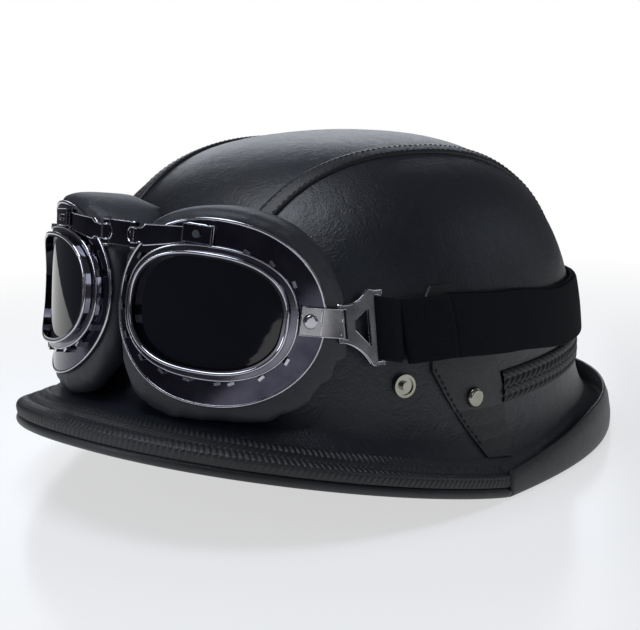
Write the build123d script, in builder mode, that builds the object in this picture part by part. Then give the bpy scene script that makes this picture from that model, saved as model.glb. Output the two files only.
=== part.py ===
from build123d import *
import os
from math import asin, cos, radians, sin, sqrt

os.makedirs("parts", exist_ok=True)

# Motorcycle half helmet covered in leather, with pilot goggles strapped round its dome.
# Millimetres. The helmet faces -Y, the wearer's left is +X, up is +Z, and it rests on Z = 0.

# ---------------------------------------------------------------- driving dimensions
DOME_HALF_WIDTH = 106.4
DOME_FRONT = 125.6
DOME_REAR = 128.0
DOME_TOP = 151.7
DOME_BASE = 34.2          # height where the wall starts to lean in
DOME_PLAN_POWER = 2.3     # squareness of the outline seen from above
DOME_CROWN = 0.76         # roundness of the crown seen from the side

RIM_HALF_WIDTH = 121.0
RIM_FRONT = 163.0
RIM_REAR = 160.0
RIM_PLAN_POWER = 2.22
PEAK_LIFT = 34.6          # height of the peak's lower edge at the very front
PEAK_LIFT_START = 22.0    # how far forward of centre the rim leaves the table
PEAK_LIFT_POWER = 1.08
RIM_HEIGHT = 10.0         # from the rim's lower edge up to the edge of the flare
FLARE_JOIN = 38.0         # height where the flare meets the dome at the side
FLARE_JOIN_RISE = 14.0    # how much higher it meets at the front

LEATHER = 1.3
SHELL = 3.65
FLARE_SHELL = 2.8         # the shell thins towards the rim
WEBBING_SPACE = 1.5
FOAM = 11.5
LINER = 4.0
GAP = 0.15                # between layers of one body

SEAM_X = 53.0             # outer edge of the centre panel's welt, above the ears
SEAM_SPREAD = 0.11        # how much the welts part towards the rear
WELT_WIDTH = 7.5
WELT_HEIGHT = 1.5

STRAP_WIDTH = 26.6
STRAP_THICK = 1.4
STRAP_OFFSET = 2.9        # from the dome's leather to the strap's inner face
TAIL_OFFSET = 1.45
FLAP_HEIGHT = 1.1
TAIL_THICK = 1.2

# one goggle unit, the wearer's left one; the right one is its mirror image
UNIT_CENTRE = (47.2, -133.7, 92.4)
UNIT_TILT = 7.3           # leans back
UNIT_TURN = 25.5          # turns outwards
UNIT_ROLL = -3.7
LENS_RADIUS = 90.0        # curvature of the lens and the bezel's lip
PLATE_RADIUS = 85.1
OPENING = (32.1, 22.2)    # half sizes of the lens opening
BEZEL_STEP = 1.9
BEZEL_WALL = 4.6
PLATE_HALF = (43.7, 37.7)
PLATE_SHIFT = 2.3
PAD_GROW = 4.0
LENS_THICK = 1.6

HINGE = (8.5, -132.4, 120.4)
HINGE_HEIGHT = 11.4
BRACKET_V = 1.8           # height of the side bracket above the unit's long axis
LOOP_AT = (51.0, -22.5)   # bracket loop, across and along the unit's normal
STRAP_BAR = (-74.7, 81.6)  # y and z of the bar that the strap loops round

FLAP_ANGLE = 80.0         # where the peak's trim ends and the neck trim begins
RING_ANGLES = [10 * i for i in range(-1, 20)]
FRONT_ANGLES = [10 * i for i in range(-1, 9)]
REAR_ANGLES = [FLAP_ANGLE + 0.5] + [10 * i for i in range(9, 20)]


# ---------------------------------------------------------------- helmet surface
def plan_radius(angle, half_width, front, rear, power):
    """Distance from the centre to an oval outline, angle in degrees from the front."""
    s = abs(sin(radians(angle)))
    c = cos(radians(angle))
    length = front if c > 0 else rear
    return ((s / half_width) ** power + (abs(c) / length) ** power) ** (-1 / power)


def dome_narrowing(z, grow=0.0):
    rise = min(max((z - DOME_BASE) / (DOME_TOP + grow - DOME_BASE), 0.0), 1.0)
    return (1 - rise ** (2 / DOME_CROWN)) ** (DOME_CROWN / 2)


def dome_radius(angle, z=0.0, grow=0.0):
    size = (DOME_HALF_WIDTH + grow, DOME_FRONT + grow, DOME_REAR + grow)
    return plan_radius(angle, *size, DOME_PLAN_POWER) * dome_narrowing(z, grow)


def rim_radius(angle):
    return plan_radius(angle, RIM_HALF_WIDTH, RIM_FRONT, RIM_REAR, RIM_PLAN_POWER)


def rim_bottom(angle):
    forward = rim_radius(angle) * cos(radians(angle)) - PEAK_LIFT_START
    reach = max(forward, 0.0) / (RIM_FRONT - PEAK_LIFT_START)
    return PEAK_LIFT * reach ** PEAK_LIFT_POWER


def join_height(y):
    return FLARE_JOIN + FLARE_JOIN_RISE * (max(-y, 0.0) / DOME_FRONT) ** 1.6


def dome_outline(z, scale, grow):
    size = (DOME_HALF_WIDTH + grow, DOME_FRONT + grow, DOME_REAR + grow)
    points = []
    for i in range(24):
        radius = scale * plan_radius(15 * i, *size, DOME_PLAN_POWER)
        points.append((radius * sin(radians(15 * i)), -radius * cos(radians(15 * i))))
    return points


def dome_solid(grow, bottom):
    """The whole volume under the dome's leather, grown outwards by an amount."""
    height = DOME_TOP + grow - DOME_BASE
    levels = [(bottom, 1.0), (DOME_BASE, 1.0)]
    for turn in (12, 24, 36, 48, 60, 70, 79, 86, 89.2):
        z = DOME_BASE + height * sin(radians(turn)) ** DOME_CROWN
        levels.append((z, cos(radians(turn)) ** DOME_CROWN))
    with BuildPart() as dome:
        for z, scale in levels:
            with BuildSketch(Plane.XY.offset(z)):
                with BuildLine():
                    Spline(*dome_outline(z, scale, grow), periodic=True)
                make_face()
        loft()
    return dome.part


def dome_layer(outer, inner, bottom):
    """A skin that follows the dome, between two distances from its leather."""
    with BuildPart() as layer:
        add(dome_solid(outer, bottom))
        add(dome_solid(inner, bottom), mode=Mode.SUBTRACT)
    return layer.part


def station(angle):
    """Upright plane through the Z axis; its x axis points outwards."""
    out = (sin(radians(angle)), -cos(radians(angle)), 0)
    return Plane(origin=(0, 0, 0), x_dir=out, z_dir=(out[1], -out[0], 0))


def flare_line(angle, depth):
    """Points down the flare, from the dome to the rim, at a depth under its leather."""
    base = dome_radius(angle)
    y = -base * cos(radians(angle))
    top = join_height(y)
    wall = dome_radius(angle, top)
    edge = rim_radius(angle) - 4.2
    low = rim_bottom(angle) + RIM_HEIGHT
    start = (wall - depth, top)
    middle = (wall + 0.3 * (edge - wall) - 0.75 * depth, low + 0.25 * (top - low) - 0.75 * depth)
    end = (edge, low - depth)
    points = []
    for t in (0.0, 0.2, 0.4, 0.6, 0.8, 1.0):
        a, b, c = (1 - t) ** 2, 2 * t * (1 - t), t * t
        points.append((a * start[0] + b * middle[0] + c * end[0],
                       a * start[1] + b * middle[1] + c * end[1]))
    return points


def ring(profile, angles):
    """A strip that follows the rim on the wearer's left, lofted through upright profiles.

    The angles run a little past the middle at each end, so that both halves meet smoothly."""
    with BuildPart() as strip:
        for angle in angles:
            with BuildSketch(station(angle)):
                with BuildLine():
                    Polyline(*profile(angle), close=True)
                make_face()
        loft()
        split(bisect_by=Plane.YZ, keep=Keep.TOP)
    return strip.part


def flare_skin(depth, thickness, angles):
    def profile(angle):
        outer = flare_line(angle, depth)
        inner = flare_line(angle, depth + thickness)
        return outer + inner[::-1]
    return ring(profile, angles)


def dome_point(y, z, grow=0.0):
    """Point of the dome's left side at a given y and z."""
    angle_low, angle_high = 1.0, 179.0
    for _ in range(50):
        angle = (angle_low + angle_high) / 2
        if -dome_radius(angle, z, grow) * cos(radians(angle)) < y:
            angle_low = angle
        else:
            angle_high = angle
    return Vector(dome_radius(angle, z, grow) * sin(radians(angle)), y, z)


def dome_plane(y, z, grow=0.0):
    """Plane that touches the dome's left side; its normal points outwards."""
    here = dome_point(y, z, grow)
    along = dome_point(y + 1, z, grow) - here
    up = dome_point(y, z + 1, grow) - here
    return Plane(origin=here, x_dir=along, z_dir=along.cross(up))


def mirrored(part):
    with BuildPart() as copy:
        mirror(part, about=Plane.YZ)
    return copy.part


def side_cut(points):
    """A block under an outline drawn in the side view (y, z), on the wearer's left."""
    with BuildPart() as block:
        with BuildSketch(Plane.YZ):
            with BuildLine():
                Polyline(*points, close=True)
            make_face()
        extrude(amount=200)
    return block.part


def save(name, part):
    part.label = name
    export_step(part, f"parts/{name}.step")


def above_join(gap):
    """Everything above the line where the flare meets the dome."""
    points = [(y, join_height(y) + gap) for y in range(-160, 1, 20)]
    points += [(150, FLARE_JOIN + gap), (150, 200), (-160, 200)]
    with BuildPart() as block:
        with BuildSketch(Plane.YZ):
            with BuildLine():
                Polyline(*points, close=True)
            make_face()
        extrude(amount=200, both=True)
    return block.part


dome_region = above_join(0.4)

# ---------------------------------------------------------------- shell and linings
shell_outer = -(LEATHER + GAP)
shell_inner = shell_outer - SHELL


def shell_flare_profile(angle):
    outer = flare_line(angle, -shell_outer)
    inner = flare_line(angle, FLARE_SHELL - shell_outer)
    lap_outer = (outer[0][0] - 0.1, outer[0][1] + 3)
    lap_inner = (inner[0][0] + 0.1, inner[0][1] + 3)
    return [lap_outer] + outer + inner[::-1] + [lap_inner]


shell_flare = ring(shell_flare_profile, RING_ANGLES)
with BuildPart() as shell:
    add(dome_layer(shell_outer, shell_inner, 20))
    add(dome_region, mode=Mode.INTERSECT)
    add(shell_flare)
    mirror(shell_flare, about=Plane.YZ)
save("shell", shell.part)

foam_outer = shell_inner - WEBBING_SPACE - 2 * GAP
foam_inner = foam_outer - FOAM
with BuildPart() as foam_liner:
    add(dome_layer(foam_outer, foam_inner, 18))
    with BuildSketch(Plane.YZ):
        with BuildLine():
            Polyline((-40, 0), (-40, 18), (-130, 41), (-130, 0), close=True)
        make_face()
    extrude(amount=200, both=True, mode=Mode.SUBTRACT)
save("foam_liner", foam_liner.part)

liner_inner = foam_inner - GAP - LINER
with BuildPart() as comfort_liner:
    add(dome_layer(foam_inner - GAP, liner_inner, 19))
    with BuildSketch(Plane.YZ):
        with BuildLine():
            Polyline((-40, 0), (-40, 19), (-130, 42), (-130, 0), close=True)
        make_face()
    extrude(amount=200, both=True, mode=Mode.SUBTRACT)
save("comfort_liner", comfort_liner.part)


# ---------------------------------------------------------------- leather covers and welts
def seam(y, shift=0.0):
    return SEAM_X + SEAM_SPREAD * y + shift


def plan_strip(inner_shift, outer_shift):
    """Upright block between two lines beside the left seam."""
    with BuildPart() as block:
        with BuildSketch(Plane.XY):
            with BuildLine():
                Polyline(
                    (seam(-150, inner_shift), -150),
                    (seam(-150, outer_shift), -150),
                    (seam(150, outer_shift), 150),
                    (seam(150, inner_shift), 150),
                    close=True,
                )
            make_face()
        extrude(amount=200)
    return block.part


leather_layer = dome_layer(0.0, -LEATHER, 20)
with BuildPart() as leather_dome:
    add(leather_layer)
    add(dome_region, mode=Mode.INTERSECT)

with BuildPart() as cover_centre:
    add(leather_dome.part)
    with BuildSketch(Plane.XY):
        with BuildLine():
            Polyline(
                (-seam(-150, -4), -150),
                (seam(-150, -4), -150),
                (seam(150, -4), 150),
                (-seam(150, -4), 150),
                close=True,
            )
        make_face()
    extrude(amount=200, mode=Mode.INTERSECT)
save("cover_centre", cover_centre.part)

with BuildPart() as cover_left:
    add(leather_dome.part)
    add(plan_strip(-4 + GAP, 200), mode=Mode.INTERSECT)
save("cover_left", cover_left.part)
save("cover_right", mirrored(cover_left.part))

with BuildPart() as welt_left:
    add(dome_layer(WELT_HEIGHT, GAP, 20))
    add(dome_region, mode=Mode.INTERSECT)
    add(plan_strip(-WELT_WIDTH, 0), mode=Mode.INTERSECT)
    # the rear belt and the goggle strap cross behind the welt's end
    with BuildSketch(Plane.YZ):
        with Locations((100, 0)):
            Rectangle(200, 2 * 84)
    extrude(amount=200, mode=Mode.SUBTRACT)
    # the goggle pads sit below the welt's front end
    with BuildSketch(Plane.YZ):
        with Locations((-100, 0)):
            Rectangle(200, 2 * 118)
    extrude(amount=200, mode=Mode.SUBTRACT)
save("welt_left", welt_left.part)
save("welt_right", mirrored(welt_left.part))

flare_leather = flare_skin(0.0, LEATHER, RING_ANGLES)
with BuildPart() as flare_cover:
    add(flare_leather)
    mirror(flare_leather, about=Plane.YZ)
save("flare_cover", flare_cover.part)


# ---------------------------------------------------------------- rim
def edging_profile(angle):
    edge = rim_radius(angle)
    low = rim_bottom(angle)
    return [(edge - 4.1, low + 5.2), (edge - 2.35, low + 5.2),
            (edge - 2.35, low + RIM_HEIGHT - 0.1), (edge - 4.1, low + RIM_HEIGHT - 0.1)]


edging_left = ring(edging_profile, RING_ANGLES)
with BuildPart() as rim_edging:
    add(edging_left)
    mirror(edging_left, about=Plane.YZ)
save("rim_edging", rim_edging.part)


def braid_profile(angle):
    top = flare_line(angle, -0.25)[3:]
    high = flare_line(angle, -1.7)[3:]
    edge = rim_radius(angle)
    low = rim_bottom(angle) + 5.2
    return [*top, (edge - 1.6, top[-1][1] - 0.6), (edge - 1.6, low),
            (edge, low), (edge, top[-1][1]), *high[::-1]]


braid_left = ring(braid_profile, FRONT_ANGLES)
with BuildPart() as front_braid:
    add(braid_left)
    mirror(braid_left, about=Plane.YZ)
save("front_braid", front_braid.part)


def piping_profile(angle):
    edge = rim_radius(angle) - 2.5
    low = rim_bottom(angle) + 2.5
    return [(edge + 2.45 * cos(radians(45 * i)), low + 2.45 * sin(radians(45 * i))) for i in range(8)]


piping_left = ring(piping_profile, FRONT_ANGLES)
with BuildPart() as rim_piping:
    add(piping_left)
    mirror(piping_left, about=Plane.YZ)
    split(bisect_by=Plane.XY, keep=Keep.TOP)
save("rim_piping", rim_piping.part)


def neck_band_profile(angle):
    edge = rim_radius(angle)
    swell = min((angle - FLAP_ANGLE) / 40, 1.0)
    top = 12 + 8 * swell
    lean = 1.0 + 2.0 * swell
    return [(edge - 8, -0.6), (edge - 1, -0.6), (edge, 7), (edge - lean, top),
            (edge - lean - 1.5, top), (edge - 1.6, 7), (edge - 2.4, 1.8), (edge - 8, 1.8)]


neck_left = ring(neck_band_profile, REAR_ANGLES)
with BuildPart() as neck_band:
    add(neck_left)
    mirror(neck_left, about=Plane.YZ)
    split(bisect_by=Plane.XY, keep=Keep.TOP)
save("neck_band", neck_band.part)

# ---------------------------------------------------------------- side flaps, rear belt, snaps
FLAP_OUTLINE = [(-27, 18.4), (-10, 15.5), (-8, 41), (-14, 60), (-31, 90), (-34, 94.5),
                (-46, 94.8), (-49.5, 91), (-52, 60), (-46.2, 49), (-37, 34)]
flap_block = side_cut(FLAP_OUTLINE)
flap_skin = flare_skin(-FLAP_HEIGHT, FLAP_HEIGHT - 0.1, [60, 75, 90, 105, 120])
with BuildPart() as flap_left:
    add(dome_layer(FLAP_HEIGHT, 0.1, 20))
    add(above_join(-1.5), mode=Mode.INTERSECT)
    add(flap_skin)
    add(flap_block, mode=Mode.INTERSECT)
save("side_flap_left", flap_left.part)
save("side_flap_right", mirrored(flap_left.part))

BELT_LOW = 38.9
BELT_HIGH = 51.2
with BuildPart() as rear_belt:
    add(dome_layer(2.5, 0.1, 20))
    with BuildSketch(Plane.YZ):
        with BuildLine():
            Polyline((-7.0, BELT_LOW), (150, BELT_LOW), (150, BELT_HIGH), (-11.0, BELT_HIGH), close=True)
        make_face()
    extrude(amount=200, both=True, mode=Mode.INTERSECT)
save("rear_belt", rear_belt.part)

SNAP_FRONT = (-65.3, 56.0)
SNAP_FLAP = (-29.4, 44.9)
SNAP_RADIUS = 4.9
STUD_RADIUS = 2.0
snap_plane = dome_plane(*SNAP_FRONT, 0.1)
with BuildPart() as snap_left:
    with BuildSketch(snap_plane):
        Circle(SNAP_RADIUS)
    extrude(amount=1.2)
    with BuildSketch(snap_plane.offset(1.2)):
        Circle(SNAP_RADIUS)
        Circle(SNAP_RADIUS - 1.1, mode=Mode.SUBTRACT)
    extrude(amount=0.8)
    with BuildSketch(snap_plane.offset(1.2)):
        Circle(STUD_RADIUS)
    extrude(amount=2.2)
save("snap_stud_left", snap_left.part)
save("snap_stud_right", mirrored(snap_left.part))

with BuildPart() as rivet_left:
    with BuildSketch(dome_plane(*SNAP_FLAP, FLAP_HEIGHT + 0.1)):
        Circle(4.5)
    extrude(amount=2.0)
    fillet(rivet_left.edges().filter_by(GeomType.CIRCLE).sort_by(Axis.X)[-1], 1.6)
save("flap_rivet_left", rivet_left.part)
save("flap_rivet_right", mirrored(rivet_left.part))

# ---------------------------------------------------------------- chin strap
PIVOT = (-29.0, 13.5)     # y and z of both chin pivots
PIVOT_RADIUS = 2.5
CHIN_WIDTH = 22.0
CHIN_THICK = 1.8
CHIN_X = 76.3
CHIN_STRAIGHT = (-40.0, 6.0)
CHIN_BEND = 100.0
CHIN_TURN = 22.0

with BuildPart() as anchor_left:
    add(dome_layer(shell_inner - GAP, shell_inner - WEBBING_SPACE, 8))
    add(side_cut([(-39, 8), (-19, 8), (-19, 50), (-39, 50)]), mode=Mode.INTERSECT)
save("chin_anchor_left", anchor_left.part)
save("chin_anchor_right", mirrored(anchor_left.part))

with BuildPart() as hanger_left:
    with BuildSketch(Plane.XZ.offset(-PIVOT[0] - 8)):
        with BuildLine():
            Polyline((95.4, 16.5), (95.4, 4.8), (79.2, 4.8), (79.2, 21), (78.0, 21),
                     (78.0, 3.6), (96.6, 3.6), (96.6, 16.5), close=True)
        make_face()
    extrude(amount=16)
    with BuildSketch(Plane.YZ.offset(96.4)):
        with Locations((PIVOT[0], 11)):
            Circle(2.5)
    extrude(amount=1.45)
    with BuildSketch(Plane.YZ.offset(73.0)):
        with Locations(PIVOT):
            Circle(PIVOT_RADIUS)
    extrude(amount=5.2)
    with BuildSketch(Plane.YZ.offset(72.4)):
        with Locations(PIVOT):
            Circle(4.6)
    extrude(amount=1.2)
save("chin_hanger_left", hanger_left.part)
save("chin_hanger_right", mirrored(hanger_left.part))

bend_end = (CHIN_X - CHIN_BEND * (1 - cos(radians(CHIN_TURN))),
            CHIN_STRAIGHT[1] + CHIN_BEND * sin(radians(CHIN_TURN)))
with BuildPart() as chin_webbing:
    with BuildSketch(Plane.XY.offset(PIVOT[1] - CHIN_WIDTH / 2)):
        with BuildLine() as chin_path:
            Line((CHIN_X, CHIN_STRAIGHT[0]), (CHIN_X, CHIN_STRAIGHT[1]))
            CenterArc((CHIN_X - CHIN_BEND, CHIN_STRAIGHT[1]), CHIN_BEND, 0, CHIN_TURN)
        trace(line_width=CHIN_THICK)
    extrude(amount=CHIN_WIDTH)
    with BuildSketch(Plane.YZ.offset(60)):
        with Locations(PIVOT):
            Circle(PIVOT_RADIUS + 0.06)
    extrude(amount=30, mode=Mode.SUBTRACT)
save("chin_strap_left", chin_webbing.part)
save("chin_strap_right", mirrored(chin_webbing.part))

buckle_out = (-sin(radians(CHIN_TURN)), cos(radians(CHIN_TURN)), 0)
buckle_face = Plane(origin=(*bend_end, PIVOT[1]), x_dir=(0, 0, 1), z_dir=buckle_out)
with BuildPart() as chin_socket:
    with BuildSketch(buckle_face.offset(-5)):
        RectangleRounded(25, 8.6, 2.5)
    extrude(amount=37)
    with BuildSketch(buckle_face.offset(12)):
        Rectangle(20.5, 6.0)
    extrude(amount=21, mode=Mode.SUBTRACT)
    with BuildSketch(buckle_face.offset(-6)):
        Rectangle(CHIN_WIDTH + 0.4, CHIN_THICK + 0.4)
    extrude(amount=8, mode=Mode.SUBTRACT)
save("chin_buckle_socket", chin_socket.part)

with BuildPart() as tongue_left:
    with BuildSketch(buckle_face.offset(-5)):
        RectangleRounded(25, 8.6, 2.5)
    extrude(amount=14)
    with BuildSketch(buckle_face.offset(-6)):
        Rectangle(CHIN_WIDTH + 0.4, CHIN_THICK + 0.4)
    extrude(amount=8, mode=Mode.SUBTRACT)
    with BuildSketch(buckle_face.offset(8.5)):
        with Locations((-8, 0), (8, 0)):
            Rectangle(3.2, 4.4)
        Rectangle(3, 4.4)
    extrude(amount=17)
    with BuildSketch(buckle_face.offset(21)):
        with Locations((-8.6, 0), (8.6, 0)):
            Rectangle(4.4, 4.4)
    extrude(amount=4.5)
save("chin_buckle_tongue", mirrored(tongue_left.part))

ADJUSTER_Y = -4.0
adjuster_plane = Plane(origin=(CHIN_X, ADJUSTER_Y, PIVOT[1]), x_dir=(0, 0, 1), z_dir=(0, 1, 0))
with BuildPart() as adjuster_left:
    with BuildSketch(adjuster_plane):
        RectangleRounded(CHIN_WIDTH + 4.4, CHIN_THICK + 4.6, 1.5)
        Rectangle(CHIN_WIDTH + 0.8, CHIN_THICK + 0.8, mode=Mode.SUBTRACT)
    extrude(amount=9)
save("chin_adjuster", mirrored(adjuster_left.part))

# ---------------------------------------------------------------- goggle unit frame
tilt, turn, roll = radians(UNIT_TILT), radians(UNIT_TURN), radians(UNIT_ROLL)
unit_forward = Vector(0, -cos(tilt), sin(tilt))
unit_up = Vector(0, sin(tilt), cos(tilt))
unit_side = Vector(1, 0, 0)
unit_normal = unit_side * sin(turn) + unit_forward * cos(turn)
level = unit_side * cos(turn) - unit_forward * sin(turn)
unit_across = level * cos(roll) + unit_up * sin(roll)
unit_rise = unit_up * cos(roll) - level * sin(roll)
unit_centre = Vector(*UNIT_CENTRE)
unit_axis = unit_centre - unit_normal * LENS_RADIUS
FACE = Plane(origin=unit_centre, x_dir=unit_across, z_dir=unit_normal)
ROUND = Plane(origin=unit_axis, x_dir=unit_across, z_dir=unit_rise)


def at_unit(across, rise, radius):
    """World point on a cylinder about the unit's axis."""
    depth = sqrt(radius ** 2 - across ** 2) - LENS_RADIUS
    return unit_centre + unit_across * across + unit_rise * rise + unit_normal * depth


def oval(half_x, half_y, power, count=24):
    points = []
    for i in range(count):
        angle = radians(360 * i / count)
        c, s = cos(angle), sin(angle)
        radius = ((abs(c) / half_x) ** power + (abs(s) / half_y) ** power) ** (-1 / power)
        points.append((radius * c, radius * s))
    return points


def curved_oval(half_x, half_y, power, shift, inner, outer):
    """An oval sheet bent round the unit's axis, between two radii."""
    with BuildPart() as sheet:
        with BuildSketch(FACE):
            with BuildLine():
                Spline(*[(x + shift, y) for x, y in oval(half_x, half_y, power)], periodic=True)
            make_face()
        extrude(amount=50, both=True)
        with BuildSketch(ROUND):
            Circle(outer)
            Circle(inner, mode=Mode.SUBTRACT)
        extrude(amount=60, both=True, mode=Mode.INTERSECT)
    return sheet.part


def bent_strip(points, inner, outer):
    """A polygon sheet bent round the unit's axis, between two radii."""
    with BuildPart() as sheet:
        with BuildSketch(FACE):
            with BuildLine():
                Polyline(*points, close=True)
            make_face()
        extrude(amount=50, both=True)
        with BuildSketch(ROUND):
            Circle(outer)
            Circle(inner, mode=Mode.SUBTRACT)
        extrude(amount=60, both=True, mode=Mode.INTERSECT)
    return sheet.part


# ---------------------------------------------------------------- goggle plate, bezel, lens, pad
PLATE_THICK = 0.8
plate_back = PLATE_RADIUS - PLATE_THICK
opening_cut = curved_oval(*OPENING, 2.5, 0, 70, 100)
with BuildPart() as plate_left:
    add(curved_oval(*PLATE_HALF, 2.15, PLATE_SHIFT, plate_back, PLATE_RADIUS))
    add(opening_cut, mode=Mode.SUBTRACT)
save("goggle_plate_left", plate_left.part)
save("goggle_plate_right", mirrored(plate_left.part))

LENS_SEAT = 1.7           # the lens stands this far above the plate
lens_inner = PLATE_RADIUS + LENS_SEAT - LENS_THICK
lens_half = (OPENING[0] + 1.2, OPENING[1] + 1.2)
with BuildPart() as bezel_left:
    add(curved_oval(OPENING[0] + BEZEL_WALL, OPENING[1] + BEZEL_WALL, 2.4, 0,
                    PLATE_RADIUS + GAP, PLATE_RADIUS + 2.4))
    add(curved_oval(OPENING[0] + BEZEL_STEP, OPENING[1] + BEZEL_STEP, 2.5, 0,
                    PLATE_RADIUS + GAP, LENS_RADIUS))
    add(opening_cut, mode=Mode.SUBTRACT)
    add(curved_oval(lens_half[0] + 0.15, lens_half[1] + 0.15, 2.5, 0,
                    PLATE_RADIUS - 0.1, PLATE_RADIUS + LENS_SEAT + 0.1), mode=Mode.SUBTRACT)
save("bezel_left", bezel_left.part)
save("bezel_right", mirrored(bezel_left.part))

with BuildPart() as lens_left:
    add(curved_oval(*lens_half, 2.5, 0, lens_inner + GAP, PLATE_RADIUS + LENS_SEAT))
save("lens_left", lens_left.part)
save("lens_right", mirrored(lens_left.part))

TAB_ANGLES = [-62, -42, -24, 26, 44, 62, 150, 168, 186, 204, 222, 240, 262, 288]
with BuildPart() as tabs_left:
    for angle in TAB_ANGLES:
        half_x = OPENING[0] + BEZEL_WALL + 0.9
        half_y = OPENING[1] + BEZEL_WALL + 0.9
        c, s = cos(radians(angle)), sin(radians(angle))
        radius = ((abs(c) / half_x) ** 2.4 + (abs(s) / half_y) ** 2.4) ** (-1 / 2.4)
        across, rise = radius * c, radius * s
        lean = asin(across / PLATE_RADIUS)
        normal = unit_normal * cos(lean) + unit_across * sin(lean)
        along = Vector(-s, c, 0)
        x_dir = unit_across * along.X * cos(lean) - unit_normal * along.X * sin(lean) + unit_rise * along.Y
        tab_plane = Plane(origin=at_unit(across, rise, PLATE_RADIUS), x_dir=x_dir, z_dir=normal)
        with BuildSketch(tab_plane.offset(0.1)):
            Rectangle(2.8, 1.2)
        extrude(amount=2.6)
save("bezel_tabs_left", tabs_left.part)
save("bezel_tabs_right", mirrored(tabs_left.part))

# ---------------------------------------------------------------- bridge
HINGE_PIN = 0.8
BARREL = 1.9
MIDDLE_BARREL = 6.0
hinge = Vector(*HINGE)
hinge_in_unit = hinge - unit_centre
arm_rise = hinge_in_unit.dot(unit_rise)
hinge_across = hinge_in_unit.dot(unit_across)
right_hinge_shift = Vector(-2 * HINGE[0], 0, 0)
link_face = Plane(origin=(0, hinge.Y, hinge.Z), x_dir=(1, 0, 0), z_dir=unit_forward)

with BuildPart() as bridge_link:
    with BuildSketch(link_face.offset(-0.6)):
        Rectangle(2 * HINGE[0], 10)
        with Locations((HINGE[0], 0), (-HINGE[0], 0)):
            Circle(3.6, mode=Mode.SUBTRACT)
    extrude(amount=1.2)
    for centre in (hinge, hinge + right_hinge_shift):
        for end in (-1, 1):
            start = end * (MIDDLE_BARREL / 2 + 0.2)
            with BuildSketch(Plane(origin=centre + unit_up * start, x_dir=(1, 0, 0), z_dir=unit_up * end)):
                Circle(BARREL)
            extrude(amount=2.0)
        with BuildSketch(Plane(origin=centre, x_dir=(1, 0, 0), z_dir=unit_up)):
            Circle(HINGE_PIN + 0.01)
        extrude(amount=12, both=True, mode=Mode.SUBTRACT)
save("bridge_link", bridge_link.part)

with BuildPart() as bridge_pins:
    for centre in (hinge, hinge + right_hinge_shift):
        with BuildSketch(Plane(origin=centre, x_dir=(1, 0, 0), z_dir=unit_up)):
            Circle(HINGE_PIN)
        extrude(amount=HINGE_HEIGHT / 2 + 0.2, both=True)
        for end in (-1, 1):
            start = end * (MIDDLE_BARREL / 2 + 2.25)
            with BuildSketch(Plane(origin=centre + unit_up * start, x_dir=(1, 0, 0), z_dir=unit_up * end)):
                Circle(1.5)
            extrude(amount=1.0)
save("bridge_pins", bridge_pins.part)

ARM_LOW = PLATE_RADIUS + 0.15
ARM_THICK = 1.0
ARM_CLIMB = 0.165         # the arm climbs as it leaves the hinge


def arm_middle(across):
    return arm_rise + ARM_CLIMB * (across - hinge_across)


ARM_SHAPE = [(-36, 2.9), (-33.4, 2.9), (-31.5, 4.3), (-20, 3.7), (-10, 2.9), (-1.5, 2.9)]
arm_outline = [(across, arm_middle(across) - half) for across, half in ARM_SHAPE]
arm_outline += [(across, arm_middle(across) + half) for across, half in ARM_SHAPE[::-1]]
with BuildPart() as arm_left:
    add(bent_strip(arm_outline, ARM_LOW, ARM_LOW + ARM_THICK))
    add(bent_strip([(hinge_across + 0.3, arm_rise - 2.9), (-35, arm_rise - 2.9),
                    (-35, arm_rise + 2.9), (hinge_across + 0.3, arm_rise + 2.9)],
                   PLATE_RADIUS - 1.2, ARM_LOW + ARM_THICK))
    with BuildSketch(Plane(origin=hinge, x_dir=(1, 0, 0), z_dir=unit_up)):
        Circle(BARREL)
    extrude(amount=MIDDLE_BARREL / 2, both=True)
    with BuildSketch(Plane(origin=hinge, x_dir=(1, 0, 0), z_dir=unit_up)):
        Circle(HINGE_PIN + 0.06)
    extrude(amount=12, both=True, mode=Mode.SUBTRACT)
save("bridge_arm_left", arm_left.part)
save("bridge_arm_right", mirrored(arm_left.part))

CLIP_MIDDLE = (-6.8, 30.8)
CLIP_HALF = (6.2, 3.6)
CLIP_TOP = ARM_LOW + ARM_THICK + 1.4
clip_sides = (CLIP_MIDDLE[0] - CLIP_HALF[0], CLIP_MIDDLE[0] + CLIP_HALF[0])
clip_ends = (CLIP_MIDDLE[1] - CLIP_HALF[1], CLIP_MIDDLE[1] + CLIP_HALF[1])
with BuildPart() as clip_left:
    add(bent_strip([(clip_sides[0], clip_ends[0]), (clip_sides[1], clip_ends[0]),
                    (clip_sides[1], clip_ends[1]), (clip_sides[0], clip_ends[1])], ARM_LOW, CLIP_TOP))
    add(bent_strip([(clip_sides[0] - 1, arm_middle(clip_sides[0] - 1) - 3.05),
                    (clip_sides[1] - 0.8, arm_middle(clip_sides[1] - 0.8) - 3.05),
                    (clip_sides[1] - 0.8, arm_middle(clip_sides[1] - 0.8) + 3.05),
                    (clip_sides[0] - 1, arm_middle(clip_sides[0] - 1) + 3.05)],
                   ARM_LOW - 0.1, ARM_LOW + ARM_THICK + 0.1), mode=Mode.SUBTRACT)
save("arm_clip_left", clip_left.part)
save("arm_clip_right", mirrored(clip_left.part))

clip_lean = asin(CLIP_MIDDLE[0] / CLIP_TOP)
clip_normal = unit_normal * cos(clip_lean) + unit_across * sin(clip_lean)
with BuildPart() as arm_rivet_left:
    with BuildSketch(Plane(origin=at_unit(*CLIP_MIDDLE, CLIP_TOP + 0.1), x_dir=unit_rise, z_dir=clip_normal)):
        Circle(1.6)
    extrude(amount=0.9)
save("arm_rivet_left", arm_rivet_left.part)
save("arm_rivet_right", mirrored(arm_rivet_left.part))

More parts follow.
